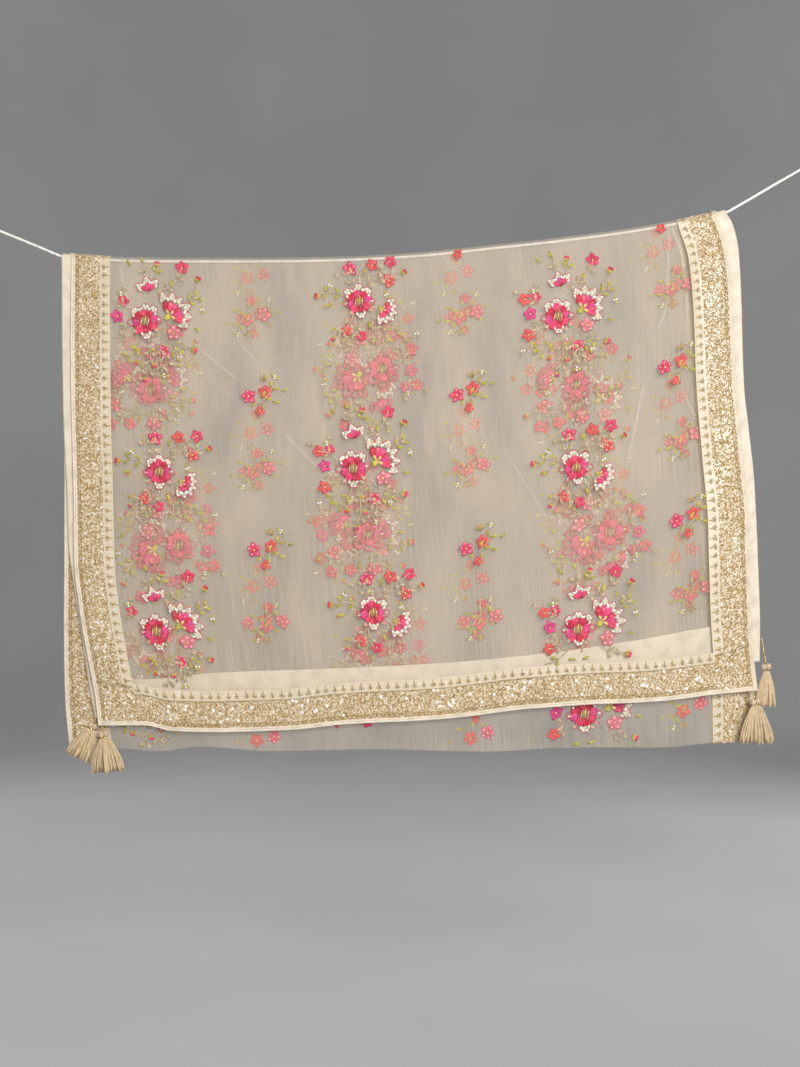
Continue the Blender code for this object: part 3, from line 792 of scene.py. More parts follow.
@dataclass(frozen=True)
class NetFinish(Finish):
    """Sheer net: fine upright threads, denser in some streaks than in others."""

    cover: float = 0.185  # how much of what is behind it one layer hides
    uneven: float = 0.070
    pressed_cover: float = 0.18  # how much more a pressed line hides

    def pattern(self, graph: Graph) -> None:
        """Fine streaks along the cloth in colour, cover and height, and pressed lines that hide more and
        carry a painted highlight.
        """
        streaks = graph.noise(graph.uv(760.0, 14.0), 1.0, 3.0)
        broad = graph.noise(graph.uv(16.0, 5.0), 1.0, 2.0)
        mixed = graph.blend(streaks, broad, 0.6)
        dark, light = shaded(self.colour, 0.86), shaded(self.colour, 1.14)
        pressed = graph.add("Attribute", {"attribute_name": "pressed"}).outputs["Fac"]
        woven = graph.ramp(mixed, (0.36, dark), (0.50, self.colour), (0.66, light))
        cover = graph.between(mixed, self.cover - self.uneven, self.cover + self.uneven, 0.34, 0.66)
        # painted highlight: along the pressed lines the colour is mixed towards pale cream, as if they caught
        # the light; their extra cover in the alpha is the doubled net
        graph.put(
            graph.shader,
            Base_Color=graph.mix("MIX", graph.math("MULTIPLY", pressed, 0.3), woven, (0.95, 0.90, 0.82)),
            Alpha=graph.math("ADD", cover, graph.math("MULTIPLY", pressed, self.pressed_cover))
        )
        graph.bump(streaks, 0.0001)


@dataclass(frozen=True)
class SatinFinish(Finish):
    """Plain satin-faced cloth: faint diagonal twill, and soft mottling where it has been handled."""

    twill: float = 1100.0

    def pattern(self, graph: Graph) -> None:
        """Twill in the height, mottling in the colour and the roughness."""
        place = graph.uv()
        turned = graph.add("Mapping", Vector=place, Rotation=(0.0, 0.0, math.radians(38)))
        twill = graph.bands(turned.outputs[0], self.twill, Distortion=0.6, Detail=1.0)
        mottle = graph.noise(place, 55.0, 4.0)
        shade, light = shaded(self.colour, 0.86), shaded(self.colour, 1.06)
        graph.put(
            graph.shader, Base_Color=graph.ramp(mottle, (0.34, shade), (0.52, self.colour), (0.68, light)),
            Roughness=graph.between(mottle, self.roughness + 0.10, self.roughness - 0.10)
        )
        graph.bump(twill, 0.00012)


@dataclass(frozen=True)
class ZariFinish(Finish):
    """The gold ground of a border: close metal stitches over cream, cream left bare near the net.

    The UV map runs across the band from its net side in u, and along it in v.
    """

    cream: Colour = (0.77, 0.65, 0.47)
    edge: Colour = (0.64, 0.54, 0.39)  # the cream's shade on the bare edge
    dark: Colour = (0.50, 0.29, 0.09)
    bare_to: float = 0.0135  # the cream row of bootis ends here
    field_from: float = 0.0150

    def pattern(self, graph: Graph) -> None:
        """Small metal rings and knots, each its own shade, thinning out towards the net."""
        place = graph.uv()
        cells = graph.add("TexVoronoi", {"feature": "F1"}, Vector=place, Scale=640.0, Randomness=1.0)
        shade = graph.add("SeparateColor", Color=cells.outputs["Color"]).outputs[0]
        rings = graph.math("SINE", graph.math("MULTIPLY", cells.outputs["Distance"], 9.0))
        swirl = graph.noise(place, 210.0, 4.0)
        tone = graph.blend(shade, swirl, 0.5)
        light = (0.95, 0.86, 0.64)
        metal = graph.ramp(
            tone, (0.24, self.dark), (0.38, self.colour), (0.56, (0.80, 0.64, 0.38)), (0.76, light)
        )
        across = graph.add("SeparateXYZ", Vector=place).outputs[0]
        dense = graph.between(across, 0.0, 0.62, self.bare_to, self.field_from)
        patches = graph.between(graph.blend(shade, swirl, 0.6), 0.0, 1.0, 0.18, 0.80)
        cover = graph.math("LESS_THAN", patches, dense)
        graph.put(
            graph.shader,
            Base_Color=graph.mix("MIX", cover, graph.mix("MIX", dense, self.edge, self.cream), metal),
            Metallic=graph.math("MULTIPLY", cover, self.metallic),
            Roughness=graph.between(shade, self.roughness + 0.12, self.roughness - 0.16)
        )
        graph.bump(graph.math("MULTIPLY", rings, cover), 0.0005)


@dataclass(frozen=True)
class SilkFinish(Finish):
    """Embroidery floss in the colours of the piece's own "floss" attribute, laid in close stitches."""

    stitches: float = 2300.0  # lines a metre

    def pattern(self, graph: Graph) -> None:
        """Stitch lines across the UV map's u, in the height, and as painted shade in the colour, darker in
        the grooves between them.
        """
        floss = graph.add("Attribute", {"attribute_name": "floss"}).outputs["Color"]
        lines = graph.bands(graph.uv(), self.stitches, Distortion=1.2, Detail=1.0, Detail_Scale=0.6)
        patchy = graph.noise(graph.object_place(), 430.0, 2.0)
        # painted shade: the floss is darkened in the grooves between the stitch lines, where the bump sinks
        darker = graph.mix("MULTIPLY", 1.0, floss, graph.ramp(lines, (0.0, (0.74,) * 3), (0.6, (1.0,) * 3)))
        graph.put(
            graph.shader,
            Base_Color=graph.mix("MULTIPLY", 1.0, darker, graph.ramp(
                patchy, (0.34, (0.66,) * 3), (0.50, (1.0,) * 3), (0.64, (1.18,) * 3))),
            Roughness=graph.between(lines, self.roughness + 0.1, self.roughness - 0.08),
        )
        graph.bump(lines, 0.00018)


@dataclass(frozen=True)
class MetalFinish(Finish):
    """Metal thread, beads, sequins or fittings: tiny dents and tarnish, so that each spot catches light."""

    dents: float = 900.0
    tarnish: float = 0.25

    def pattern(self, graph: Graph) -> None:
        """Dents in the height, tarnish in the colour and the roughness."""
        place = graph.object_place()
        spots = graph.noise(place, self.dents, 2.0)
        worn = graph.noise(place, self.dents / 6, 3.0)
        shade = shaded(self.colour, 1 - self.tarnish)
        graph.put(
            graph.shader, Base_Color=graph.ramp(worn, (0.36, shade), (0.60, self.colour)),
            Roughness=graph.between(worn, self.roughness + 0.12, self.roughness - 0.08)
        )
        graph.bump(spots, 0.00012)


@dataclass(frozen=True)
class StrandFinish(Finish):
    """Twisted thread or cord: the twist runs round it, along the UV map's v."""

    twist: float = 700.0  # turns a metre
    lean: float = 0.35
    relief: float = 0.00025
    tinted: bool = False  # each strand carries its own shade in the "floss" attribute

    def pattern(self, graph: Graph) -> None:
        """Twist lines in the height, lighter and darker lengths in the colour."""
        place = graph.uv(self.lean, 1.0)
        wave = graph.bands(place, self.twist, "DIAGONAL", Distortion=0.4)
        tone = graph.noise(graph.object_place(), 160.0, 3.0)
        shade, light = shaded(self.colour, 0.80), shaded(self.colour, 1.10)
        spun = graph.ramp(tone, (0.30, shade), (0.50, self.colour), (0.68, light))
        if self.tinted:
            floss = graph.add("Attribute", {"attribute_name": "floss"}).outputs["Color"]
            spun = graph.mix("MULTIPLY", 1.0, spun, floss)
        graph.put(graph.shader, Base_Color=spun)
        graph.bump(wave, self.relief)


@dataclass(frozen=True)
class Wardrobe:
    """Every finish in use, built once."""

    net: Material
    satin: Material
    zari: Material
    silk: Material
    gold: Material
    sequin: Material
    tassel: Material
    bead: Material
    cotton: Material
    steel: Material

    @classmethod
    def stocked(cls) -> Wardrobe:
        """Builds the finishes."""
        return cls(
            net=NetFinish("net_finish", (0.68, 0.56, 0.41), 0.62, sheen=0.20).make(),
            satin=SatinFinish("satin_finish", (0.73, 0.63, 0.49), 0.46, sheen=0.12).make(),
            zari=ZariFinish("zari_finish", (0.78, 0.53, 0.24), 0.42, metallic=0.25).make(),
            silk=SilkFinish("silk_finish", (0.8, 0.1, 0.3), 0.46, sheen=0.10).make(),
            gold=MetalFinish("gold_thread_finish", (0.84, 0.57, 0.23), 0.34, metallic=0.30).make(),
            sequin=MetalFinish("sequin_finish", (0.98, 0.97, 0.94), 0.18, metallic=0.0, tarnish=0.03).make(),
            tassel=StrandFinish(
                "tassel_thread_finish", (0.60, 0.45, 0.27), 0.60, sheen=0.15,
                twist=300.0, relief=0.00006, tinted=True,
            ).make(),
            bead=MetalFinish("gold_bead_finish", (0.86, 0.62, 0.26), 0.20, metallic=1.0).make(),
            cotton=StrandFinish("cotton_finish", (0.86, 0.84, 0.79), 0.75, twist=240.0).make(),
            steel=MetalFinish("steel_finish", (0.60, 0.60, 0.61), 0.30, metallic=1.0, dents=400.0).make(),
        )


# ---------------------------------------------------------------- needlework, flat
class Floss(Enum):
    """The embroidery's thread colours."""

    CRIMSON = (0.70, 0.022, 0.065)
    PINK = (0.92, 0.060, 0.155)
    MAGENTA = (0.84, 0.065, 0.25)
    CORAL = (0.88, 0.11, 0.10)
    ROSE = (0.90, 0.25, 0.28)
    CREAM = (0.86, 0.77, 0.56)
    LEAF = (0.62, 0.53, 0.07)
    BEIGE = (0.68, 0.52, 0.31)
    STEM = (0.74, 0.57, 0.37)
    OLD_GOLD = (0.58, 0.41, 0.16)
    ANTIQUE = (0.54, 0.34, 0.11)


REDS = (Floss.CRIMSON, Floss.PINK, Floss.MAGENTA, Floss.CORAL)


class Thread(Enum):
    """Which of an embroidered piece's materials a part is made of, by slot."""

    SILK = 0
    GOLD = 1
    SEQUIN = 2


class Template(NamedTuple):
    """One modelled shape, ready to be copied: its points and its faces."""

    points: np.ndarray
    faces: list


def template_of(piece: Piece) -> Template:
    """Takes a modelled piece as a template and clears it from the bench."""
    template = Template(mesh_points(piece), [tuple(p.vertices) for p in piece.data.polygons])
    bpy.data.objects.remove(piece, do_unlink=True)
    return template


def ball_template(segments: int, rings: int) -> Template:
    """A plain ball of radius 1, to be flattened and shaped."""
    deselect()
    bpy.ops.mesh.primitive_uv_sphere_add(segments=segments, ring_count=rings, radius=1.0)
    return template_of(taken("ball"))


def petal_template(segments: int, rings: int, waist: float, point: float = 0.0) -> Template:
    """A padded petal one unit long, rooted at the origin and growing along +Y.

    Args:
        segments: sides of the ball that it is shaped from.
        rings: rings of that ball.
        waist: how narrow it is at its root, as a share of its fullest width.
        point: how much of its width it has lost by its tip.

    Returns:
        The petal, one unit wide at its fullest, and one unit high off the cloth.
    """
    ball = ball_template(segments, rings)
    points = ball.points / np.abs(ball.points).max(axis=0)
    along = (points[:, 1] + 1) / 2
    full = waist + (1 - waist) * np.sin(np.clip(along, 0, 1) * math.pi * 0.62) ** 1.2
    points[:, 0] *= 0.5 * full * (1 - point * along**2)
    points[:, 1] = along
    points[:, 2] = np.where(points[:, 2] > 0, points[:, 2], 0.30 * points[:, 2])
    return Template(points, ball.faces)


def peak_template(sides: int, top: float = 0.0) -> Template:
    """A low peak on its base: a cut piece of metal coil, a gold knot, or a sequin with its top cut flat.

    Args:
        sides: how many sides it has.
        top: the radius of its flat top, over its base's.

    Returns:
        The peak, one unit high and one in radius.
    """
    deselect()
    bpy.ops.mesh.primitive_cone_add(vertices=sides, radius1=1.0, radius2=top, depth=1.0, location=(0, 0, 0.5))
    return template_of(taken("peak"))


def along_line(line: np.ndarray) -> np.ndarray:
    """How far along a line each of its points lies."""
    return np.concatenate([[0], np.cumsum(np.linalg.norm(np.diff(line, axis=0), axis=1))])


class Gathered:
    """Many small shapes, gathered as arrays into a single mesh."""

    def __init__(self, name: str, seed: int) -> None:
        """Starts with nothing in it.

        Args:
            name: the finished piece's name.
            seed: of its small unevennesses.
        """
        self.name = name
        self.dice = random.Random(seed)
        self.points: list[np.ndarray] = []
        self.faces: list[tuple[int, ...]] = []
        self.colours: list[np.ndarray] = []
        self.threads: list[int] = []
        self.places: list[np.ndarray] = []
        self.count = 0

    def add(
        self, points: np.ndarray, faces: Sequence[tuple], places: np.ndarray,
        colour: Colour = (1.0, 1.0, 1.0), thread: Thread = Thread.SILK
    ) -> None:
        """Adds one shape.

        Args:
            points: its points.
            faces: its faces, by its own points' numbers.
            places: its (u, v) places, in metres.
            colour: its floss colour.
            thread: what it is made of.
        """
        start = self.count
        self.points.append(points)
        self.faces += [tuple(start + i for i in face) for face in faces]
        self.threads += [thread.value] * len(faces)
        self.colours.append(np.tile((*colour, 1.0), (len(points), 1)))
        self.places.append(places)
        self.count += len(points)

    def tube(
        self, line: np.ndarray, sections: np.ndarray, aside: np.ndarray, away: np.ndarray,
        colour: Colour = (1.0, 1.0, 1.0), thread: Thread = Thread.SILK
    ) -> None:
        """Adds a closed tube.

        Args:
            line: rows of points along its middle.
            sections: for each of them, rows of (aside, away) offsets round it.
            aside: the unit direction of the first offset, for all of them or for each.
            away: that of the second one.
            colour: its floss colour.
            thread: what it is made of.
        """
        rings, sides = sections.shape[:2]
        points = (
            line[:, None, :]
            + sections[:, :, :1] * np.broadcast_to(aside, line.shape)[:, None, :]
            + sections[:, :, 1:] * np.broadcast_to(away, line.shape)[:, None, :]
        ).reshape(-1, 3)
        faces = [
            (
                i * sides + j, i * sides + (j + 1) % sides, (i + 1) * sides + (j + 1) % sides,
                (i + 1) * sides + j
            ) for i in range(rings - 1) for j in range(sides)
        ]
        faces += [tuple(range(sides - 1, -1, -1)), tuple((rings - 1) * sides + j for j in range(sides))]
        round_it = np.linalg.norm(sections[0], axis=1).mean() * 2 * math.pi * np.arange(sides) / sides
        places = np.stack([np.tile(round_it, rings), np.repeat(along_line(line), sides)], axis=1)
        self.add(points, faces, places, colour, thread)

    def placed(self) -> np.ndarray:
        """All the points, where they belong in the object's frame."""
        return np.concatenate(self.points)

    def finish(self, *materials: Material, slot: str | None = None) -> Piece:
        """Joins everything into one mesh.

        Args:
            materials: the piece's materials, in the order of Thread.
            slot: the record's material slot, where it has one.

        Returns:
            The finished piece.
        """
        mesh = bpy.data.meshes.new(self.name)
        mesh.from_pydata(self.placed().tolist(), [], self.faces)
        mesh.polygons.foreach_set("material_index", self.threads)
        mesh.polygons.foreach_set("use_smooth", [True] * len(self.faces))
        piece = bpy.data.objects.new(self.name, mesh)
        bpy.context.scene.collection.objects.link(piece)
        lay_floss(piece, np.concatenate(self.colours))
        lay_uv(piece, np.concatenate(self.places))
        return dress(piece, *materials, slot=slot)


def plain(rows: np.ndarray) -> np.ndarray:
    """The rows as they are."""
    return rows


class Sewing(Gathered):
    """Shapes laid flat on one side of a stretch, gathered and then hung with it."""

    ROOT_SHADE = 0.62  # a petal's floss at its root, over its colour at the tip
    PAINTED_LIGHT_THROUGH_NET = 0.45  # painted light: how far towards rose the reds on the wrong side, seen through the outer net, are paled, to stand in for the light the net keeps off them

    def __init__(self, name: str, hung: HungStretch, seed: int, turned: bool = False) -> None:
        """Starts with nothing sewn.

        Args:
            name: the finished piece's name.
            hung: the stretch that it is sewn to.
            seed: of its small unevennesses.
            turned: whether it stands on the cloth's wrong side, where the stitches' backs show.
        """
        super().__init__(name, seed)
        self.hung = hung
        self.turned = turned
        self.lay: Callable[[np.ndarray], np.ndarray] = plain  # from a border's own run to the flat cloth

    def tint(self, floss: Floss, spread: float = 0.12) -> Colour:
        """A floss colour, a shade lighter or darker each time, and a red paled towards rose on its wrong
        side, a painted light.
        """
        shift = 1 + self.dice.uniform(-spread, spread)
        # painted light: reds seen through the outer net are paled towards rose
        rose = self.PAINTED_LIGHT_THROUGH_NET if self.turned and floss in REDS else 0.0
        return tuple(min(1.0, shift * (c + rose * (r - c))) for c, r in zip(floss.value, Floss.ROSE.value))

    def pad(
        self, shape: Template, spot: tuple[float, float], turn: float, size: tuple[float, float, float],
        floss: Floss = Floss.CREAM, thread: Thread = Thread.SILK
    ) -> None:
        """Lays a copy of a shape.

        Args:
            shape: the template.
            spot: its root's place, flat.
            turn: its turn anticlockwise from straight up, in degrees.
            size: its width, length and height over the template's.
            floss: its colour.
            thread: what it is made of.
        """
        scaled = shape.points * size
        c, s = math.cos(math.radians(turn)), math.sin(math.radians(turn))
        points = np.stack([
            spot[0] + c * scaled[:, 0] - s * scaled[:, 1],
            spot[1] + s * scaled[:, 0] + c * scaled[:, 1],
            scaled[:, 2],
        ], axis=1)
        self.add(self.lay(points), shape.faces, scaled[:, :2], self.tint(floss), thread)
        if shape.points[:, 1].min() > -0.01:  # rooted, as a petal is, and not a dot round its middle
            shaded = self.ROOT_SHADE + (1 - self.ROOT_SHADE) * ramp(shape.points[:, 1:2], 0.0, 0.7)
            self.colours[-1][:, :3] *= shaded

    def cord(
        self, line: Sequence[tuple[float, float]], width: float, height: float, floss: Floss = Floss.STEM,
        thread: Thread = Thread.SILK, sides: int = 4
    ) -> None:
        """Couches a cord down along a flat line.

        Args:
            line: rows of (x, y) along it.
            width: its width.
            height: how far it stands off the cloth.
            floss: its colour.
            thread: what it is made of.
            sides: sides of its section.
        """
        line = np.array(line, float)
        run = np.gradient(line, axis=0)
        run /= np.maximum(np.linalg.norm(run, axis=1), 1e-9)[:, None]
        turn = 2 * math.pi * (np.arange(sides) + 0.5) / sides
        section = np.stack([width / 2 * np.sin(turn), height * (0.42 + 0.58 * np.cos(turn))], axis=1)
        rings = len(line)
        self.tube(
            np.column_stack([line, np.zeros(rings)]), np.broadcast_to(section, (rings, sides, 2)),
            np.column_stack([-run[:, 1], run[:, 0], np.zeros(rings)]), np.tile((0.0, 0.0, 1.0), (rings, 1)),
            self.tint(floss), thread
        )
        self.points[-1] = self.lay(self.points[-1])

    def placed(self) -> np.ndarray:
        """All the points, hung with the cloth."""
        points = super().placed()
        if self.turned:
            points[:, 2] *= -1
        return self.hung.hang(points)

    def finish(self, *materials: Material, slot: str | None = None) -> Piece:
        """Joins and hangs everything.

        Args:
            materials: the piece's materials, in the order of Thread.
            slot: the record's material slot, where it has one.

        Returns:
            The finished piece.
        """
        piece = super().finish(*materials, slot=slot)
        if (self.hung.stretch.right_side > 0) != self.turned:
            flip_faces(piece)
            deselect()
        return piece


# ---------------------------------------------------------------- the embroidered flowers
def arc_line(
    middle: tuple[float, float], radii: tuple[float, float], turn: float, span: float, count: int
) -> np.ndarray:
    """Points along part of an oval.

    Args:
        middle: the oval's middle.
        radii: its half width and half length, before it is turned.
        turn: where the arc's middle points, in degrees anticlockwise from straight up.
        span: how much of the full turn it covers, in degrees.
        count: the number of points.

    Returns:
        Rows of (x, y).
    """
    t = np.radians(np.linspace(-span / 2, span / 2, count))
    x, y = -radii[0] * np.sin(t), radii[1] * np.cos(t)
    c, s = math.cos(math.radians(turn)), math.sin(math.radians(turn))
    return np.stack([middle[0] + c * x - s * y, middle[1] + s * x + c * y], axis=1)


@dataclass(frozen=True)
class Kit:
    """The embroiderer's few shapes, each modelled once."""

    petal: Template
    floret: Template
    leaf: Template
    seed: Template
    dot: Template
    sequin: Template
    chip: Template

    @classmethod
    def stocked(cls) -> Kit:
        """Models the shapes."""
        return cls(
            petal=petal_template(8, 4, 0.42), floret=petal_template(8, 4, 0.62, 0.40),
            leaf=petal_template(6, 3, 0.25), seed=ball_template(8, 4), dot=peak_template(6),
            sequin=peak_template(6, 0.78), chip=peak_template(4)
        )


class Bloom(NamedTuple):
    """A small flower or bud in a bouquet: millimetres from the bouquet's middle."""

    x: float
    y: float
    turn: float
    size: float
    floss: Floss


class Twig(NamedTuple):
    """A stem that bends from one place to another, with leaves in pairs along it."""

    x: float
    y: float
    to_x: float
    to_y: float
    bow: float  # how far its middle stands off the straight line, to its left
    leaves: int = 0
    floss: Floss = Floss.BEIGE


def spot_off(x: float, y: float, turn: float, reach: float) -> tuple[float, float]:
    """The spot that lies so far off another one, turn degrees anticlockwise from straight up."""
    out = math.radians(turn)
    return x - reach * math.sin(out), y + reach * math.cos(out)


class Spray:
    """A frame on a sewing, in millimetres about a bouquet's middle, in which its flowers are worked."""

    MM = 0.001
    ROSETTE_PETALS = 8
    ROSETTE_LOOPS = 8

    def __init__(self, sewing: Sewing, kit: Kit, middle: tuple[float, float], turn: float) -> None:
        """Places the frame.

        Args:
            sewing: where the flowers go.
            kit: the shapes.
            middle: the bouquet's middle on the flat cloth.
            turn: its turn, in degrees anticlockwise.
        """
        self.sewing, self.kit, self.middle, self.turn = sewing, kit, middle, turn
        self.c, self.s = math.cos(math.radians(turn)), math.sin(math.radians(turn))

    def at(self, x: float, y: float) -> tuple[float, float]:
        """The flat place of a spot in this frame."""
        return (
            self.middle[0] + self.MM * (self.c * x - self.s * y),
            self.middle[1] + self.MM * (self.s * x + self.c * y)
        )

    def fits(self, x: float, y: float, reach: float) -> bool:
        """Whether something that reaches so far round a spot is all on the net."""
        return self.sewing.hung.on_net(self.at(x, y), self.MM * reach)

    def pad(
        self, shape: Template, x: float, y: float, turn: float, size: tuple[float, float, float],
        floss: Floss = Floss.CREAM, thread: Thread = Thread.SILK
    ) -> None:
        """Lays a shape, its width, length and height in millimetres."""
        scaled = tuple(self.MM * s for s in size)
        self.sewing.pad(shape, self.at(x, y), turn + self.turn, scaled, floss, thread)

    def line(self, points: np.ndarray, width: float, height: float, floss: Floss) -> None:
        """Couches a cord along points in this frame."""
        self.sewing.cord([self.at(x, y) for x, y in points], self.MM * width, self.MM * height, floss)

    def sequins(self, points: Sequence[tuple[float, float]], size: float) -> None:
        """Sews white sequins at spots in this frame."""
        for x, y in points:
            half = size / 2
            turn = self.sewing.dice.uniform(0, 60)
            self.pad(self.kit.sequin, x, y, turn, (half, half, 1.7), thread=Thread.SEQUIN)

    def loop(self, x: float, y: float, turn: float, width: float, length: float, sequins: int) -> None:
        """A raised, filled cream loop with sequins, and a fine pink cord round it.

        On the wrong side of the cloth its back shows, a bare rose line.

        Args:
            x: the middle of its open end.
            y: the same.
            turn: where it points.
            width: across its open end.
            length: from its open end to its tip.
            sequins: how many it holds.
        """
        thread = Floss.ROSE if self.sewing.turned else Floss.CREAM
        self.line(arc_line((x, y), (width / 2, length), turn, 190, 8), 4.0, 0.95, thread)
        self.line(arc_line((x, y), (width / 2 + 2.0, length + 2.0), turn, 170, 7), 1.1, 0.7, Floss.PINK)
        if not self.sewing.turned:
            self.pad(self.kit.leaf, x, y, turn, (0.9 * width, 0.92 * length, 0.7))
            self.sequins(arc_line((x, y), (width / 2, length), turn, 150, sequins), 3.7)

    def stitches(self, x: float, y: float, size: float) -> None:
        """Lighter and darker stitches scattered over the petals round a flower's middle."""
        dice = self.sewing.dice
        for n in range(12):
            turn = 30 * n + dice.uniform(-10, 10)
            spot = spot_off(x, y, turn, dice.uniform(0.24, 0.46) * size)
            self.pad(
                self.kit.leaf, *spot, turn + dice.uniform(-12, 12),
                (0.08 * size, dice.uniform(0.16, 0.26) * size, 1.5),
                (Floss.ROSE, Floss.CRIMSON, Floss.MAGENTA)[n % 3]
            )

    def rosette(self, bloom: Bloom) -> None:
        """The large full flower."""
        x, y, _, size, _ = bloom
        if not self.fits(x, y, size * 0.8):
            return
        dice, petals, loops = self.sewing.dice, self.ROSETTE_PETALS, self.ROSETTE_LOOPS
        for n in range(petals):
            turn = 360 * n / petals + 11 + dice.uniform(-7, 7)
            floss = Floss.CRIMSON if n % 3 == 1 else Floss.MAGENTA if n % 4 == 2 else Floss.PINK
            self.pad(
                self.kit.petal, *spot_off(x, y, turn, 0.17 * size), turn,
                (0.68 * size, dice.uniform(0.54, 0.74) * size, 1.1), floss
            )
        self.stitches(x, y, size)
        for strip in range(-2, 3):
            self.pad(
                self.kit.leaf, x + (0.105 * strip - 0.06) * size, y - 0.36 * size, -12,
                (0.08 * size, (0.80 - 0.09 * abs(strip)) * size, 1.9), Floss.ANTIQUE,
                Thread.SILK if strip % 2 else Thread.GOLD
            )
        for n in range(loops):
            turn = 360 * n / loops + dice.uniform(-7, 7)
            foot = spot_off(x, y, turn, dice.uniform(0.58, 0.68) * size)
            if math.cos(math.radians(turn)) > 0.3 or n == loops // 2:
                self.loop(*foot, turn, 1.25 * math.pi * size / loops, dice.uniform(0.30, 0.42) * size, 4)
            elif n % 2 == 0:
                self.line(arc_line(foot, (0.24 * size, 0.40 * size), turn, 180, 8), 1.5, 0.8, Floss.PINK)
                self.pad(self.kit.leaf, *foot, turn + 12, (0.12 * size, 0.34 * size, 0.9), Floss.CREAM)
            else:
                self.pad(self.kit.petal, *foot, turn, (0.22 * size, 0.40 * size, 1.0), Floss.BEIGE)
                self.pad(self.kit.leaf, *foot, turn + 24, (0.14 * size, 0.42 * size, 0.9), Floss.ROSE)

    def half_rose(self, bloom: Bloom) -> None:
        """A half-open flower seen from its side."""
        x, y, turn, size, _ = bloom
        if not self.fits(x, y, size * 0.6):
            return
        dice = self.sewing.dice
        for lean, floss in (
            (-62, Floss.PINK), (-36, Floss.MAGENTA), (-12, Floss.CRIMSON), (12, Floss.MAGENTA),
            (36, Floss.PINK), (62, Floss.CRIMSON)
        ):
            long = dice.uniform(0.62, 0.78) * size
            self.pad(self.kit.petal, x, y, turn + lean, (0.42 * size, long, 1.1), floss)
        for lean in (-74, -46, -18, 10, 37, 64):
            near = dice.uniform(0.54, 0.62) * size
            foot = spot_off(x, y, turn + lean, near)
            self.loop(*foot, turn + lean, 0.28 * size, dice.uniform(0.30, 0.40) * size, 3)
            self.pad(
                self.kit.leaf, *spot_off(x, y, turn + lean, 0.6 * near), turn + lean,
                (0.06 * size, 0.22 * size, 1.5), Floss.CREAM if lean % 2 else Floss.ROSE
            )
        for lean in (-70, 0, 70):
            self.pad(self.kit.leaf, x, y, turn + lean, (0.16 * size, 0.34 * size, 1.5), thread=Thread.GOLD)
        self.pad(
            self.kit.seed, *spot_off(x, y, turn, -0.10 * size), turn, (0.13 * size, 0.18 * size, 1.2),
            Floss.LEAF
        )

    def looped_bud(self, bloom: Bloom) -> None:
        """Three cream loops over a pink pad."""
        x, y, turn, size, _ = bloom
        if not self.fits(x, y, size * 0.7):
            return
        for lean, floss in ((-46, Floss.PINK), (46, Floss.PINK), (0, Floss.MAGENTA)):
            self.pad(self.kit.petal, x, y, turn + lean, (0.44 * size, 0.72 * size, 1.1), floss)
        for lean in (-52, 0, 52):
            foot = spot_off(x, y, turn + lean, 0.5 * size)
            self.loop(*foot, turn + lean, 0.42 * size, 0.44 * size, 3)
        self.pad(self.kit.leaf, x, y, turn + 150, (2.2, 4.5, 0.8), Floss.LEAF)

    def blossom(self, bloom: Bloom, sequined: bool = False) -> None:
        """A small five-petalled flower.

        Args:
            bloom: its row in the bouquet's table.
            sequined: whether white sequins stand on its petals.
        """
        x, y, turn, size, floss = bloom
        if not self.fits(x, y, size / 2):
            return
        for n in range(5):
            angle = turn + 72 * n + self.sewing.dice.uniform(-5, 5)
            long = self.sewing.dice.uniform(0.48, 0.60) * size
            self.pad(self.kit.floret, x, y, angle, (0.54 * size, long, 0.55), floss)
            if sequined:
                self.sequins([spot_off(x, y, angle, 0.36 * size)], 2.0)
        eye = 0.09 * size
        self.pad(self.kit.seed, x, y, 0, (eye, 1.15 * eye, 1.3), thread=Thread.GOLD)

    def sequined_blossom(self, bloom: Bloom) -> None:
        """A small flower with white sequins on its petals."""
        self.blossom(bloom, sequined=True)

    def bud(self, bloom: Bloom) -> None:
        """A closed bud, with two small leaves at its foot."""
        x, y, turn, size, floss = bloom
        if not self.fits(x, y, size / 2):
            return
        self.pad(self.kit.petal, x, y, turn - 14, (0.50 * size, 0.90 * size, 0.9), floss)
        self.pad(self.kit.petal, x, y, turn + 14, (0.50 * size, 0.90 * size, 1.0), floss)
        for lean in (-36, 0, 36):
            self.pad(self.kit.leaf, x, y, turn + lean, (0.32 * size, 0.62 * size, 1.2), Floss.LEAF)

    def sequin_bud(self, bloom: Bloom) -> None:
        """White sequins in a small spike between two leaves."""
        x, y, turn, size, floss = bloom
        if not self.fits(x, y, size / 2):
            return
        self.sequins([spot_off(x, y, turn, reach * size) for reach in (0.04, 0.44)], 3.2)
        for lean in (-50, 50):
            self.pad(self.kit.leaf, x, y, turn + lean, (3.0, 7.5, 0.8), floss)

    def leaf(self, bloom: Bloom) -> None:
        """One leaf."""
        x, y, turn, size, floss = bloom
        if self.fits(x, y, 1.0):
            self.pad(self.kit.leaf, x, y, turn, (0.54 * size, 1.36 * size, 0.8), floss)

    def twig(self, twig: Twig) -> None:
        """A stem and the leaves along it."""
        if not (self.fits(twig.x, twig.y, 0) and self.fits(twig.to_x, twig.to_y, 0)):
            return
        t = np.linspace(0, 1, 7)
        start, end = np.array([twig.x, twig.y]), np.array([twig.to_x, twig.to_y])
        run = end - start
        length = float(np.hypot(*run))
        left = np.array([-run[1], run[0]]) / length
        points = start + t[:, None] * run + (4 * t * (1 - t))[:, None] * left * twig.bow
        self.line(points, 1.8, 0.6, Floss.STEM)
        for pair in range(twig.leaves):
            at = (pair + 0.7) / (twig.leaves + 0.4)
            spot = start + at * run + 4 * at * (1 - at) * left * twig.bow
            ahead = math.degrees(math.atan2(-run[0], run[1]))
            for lean in (-48, 48):
                self.leaf(Bloom(spot[0], spot[1], ahead + lean, 8.0, twig.floss))


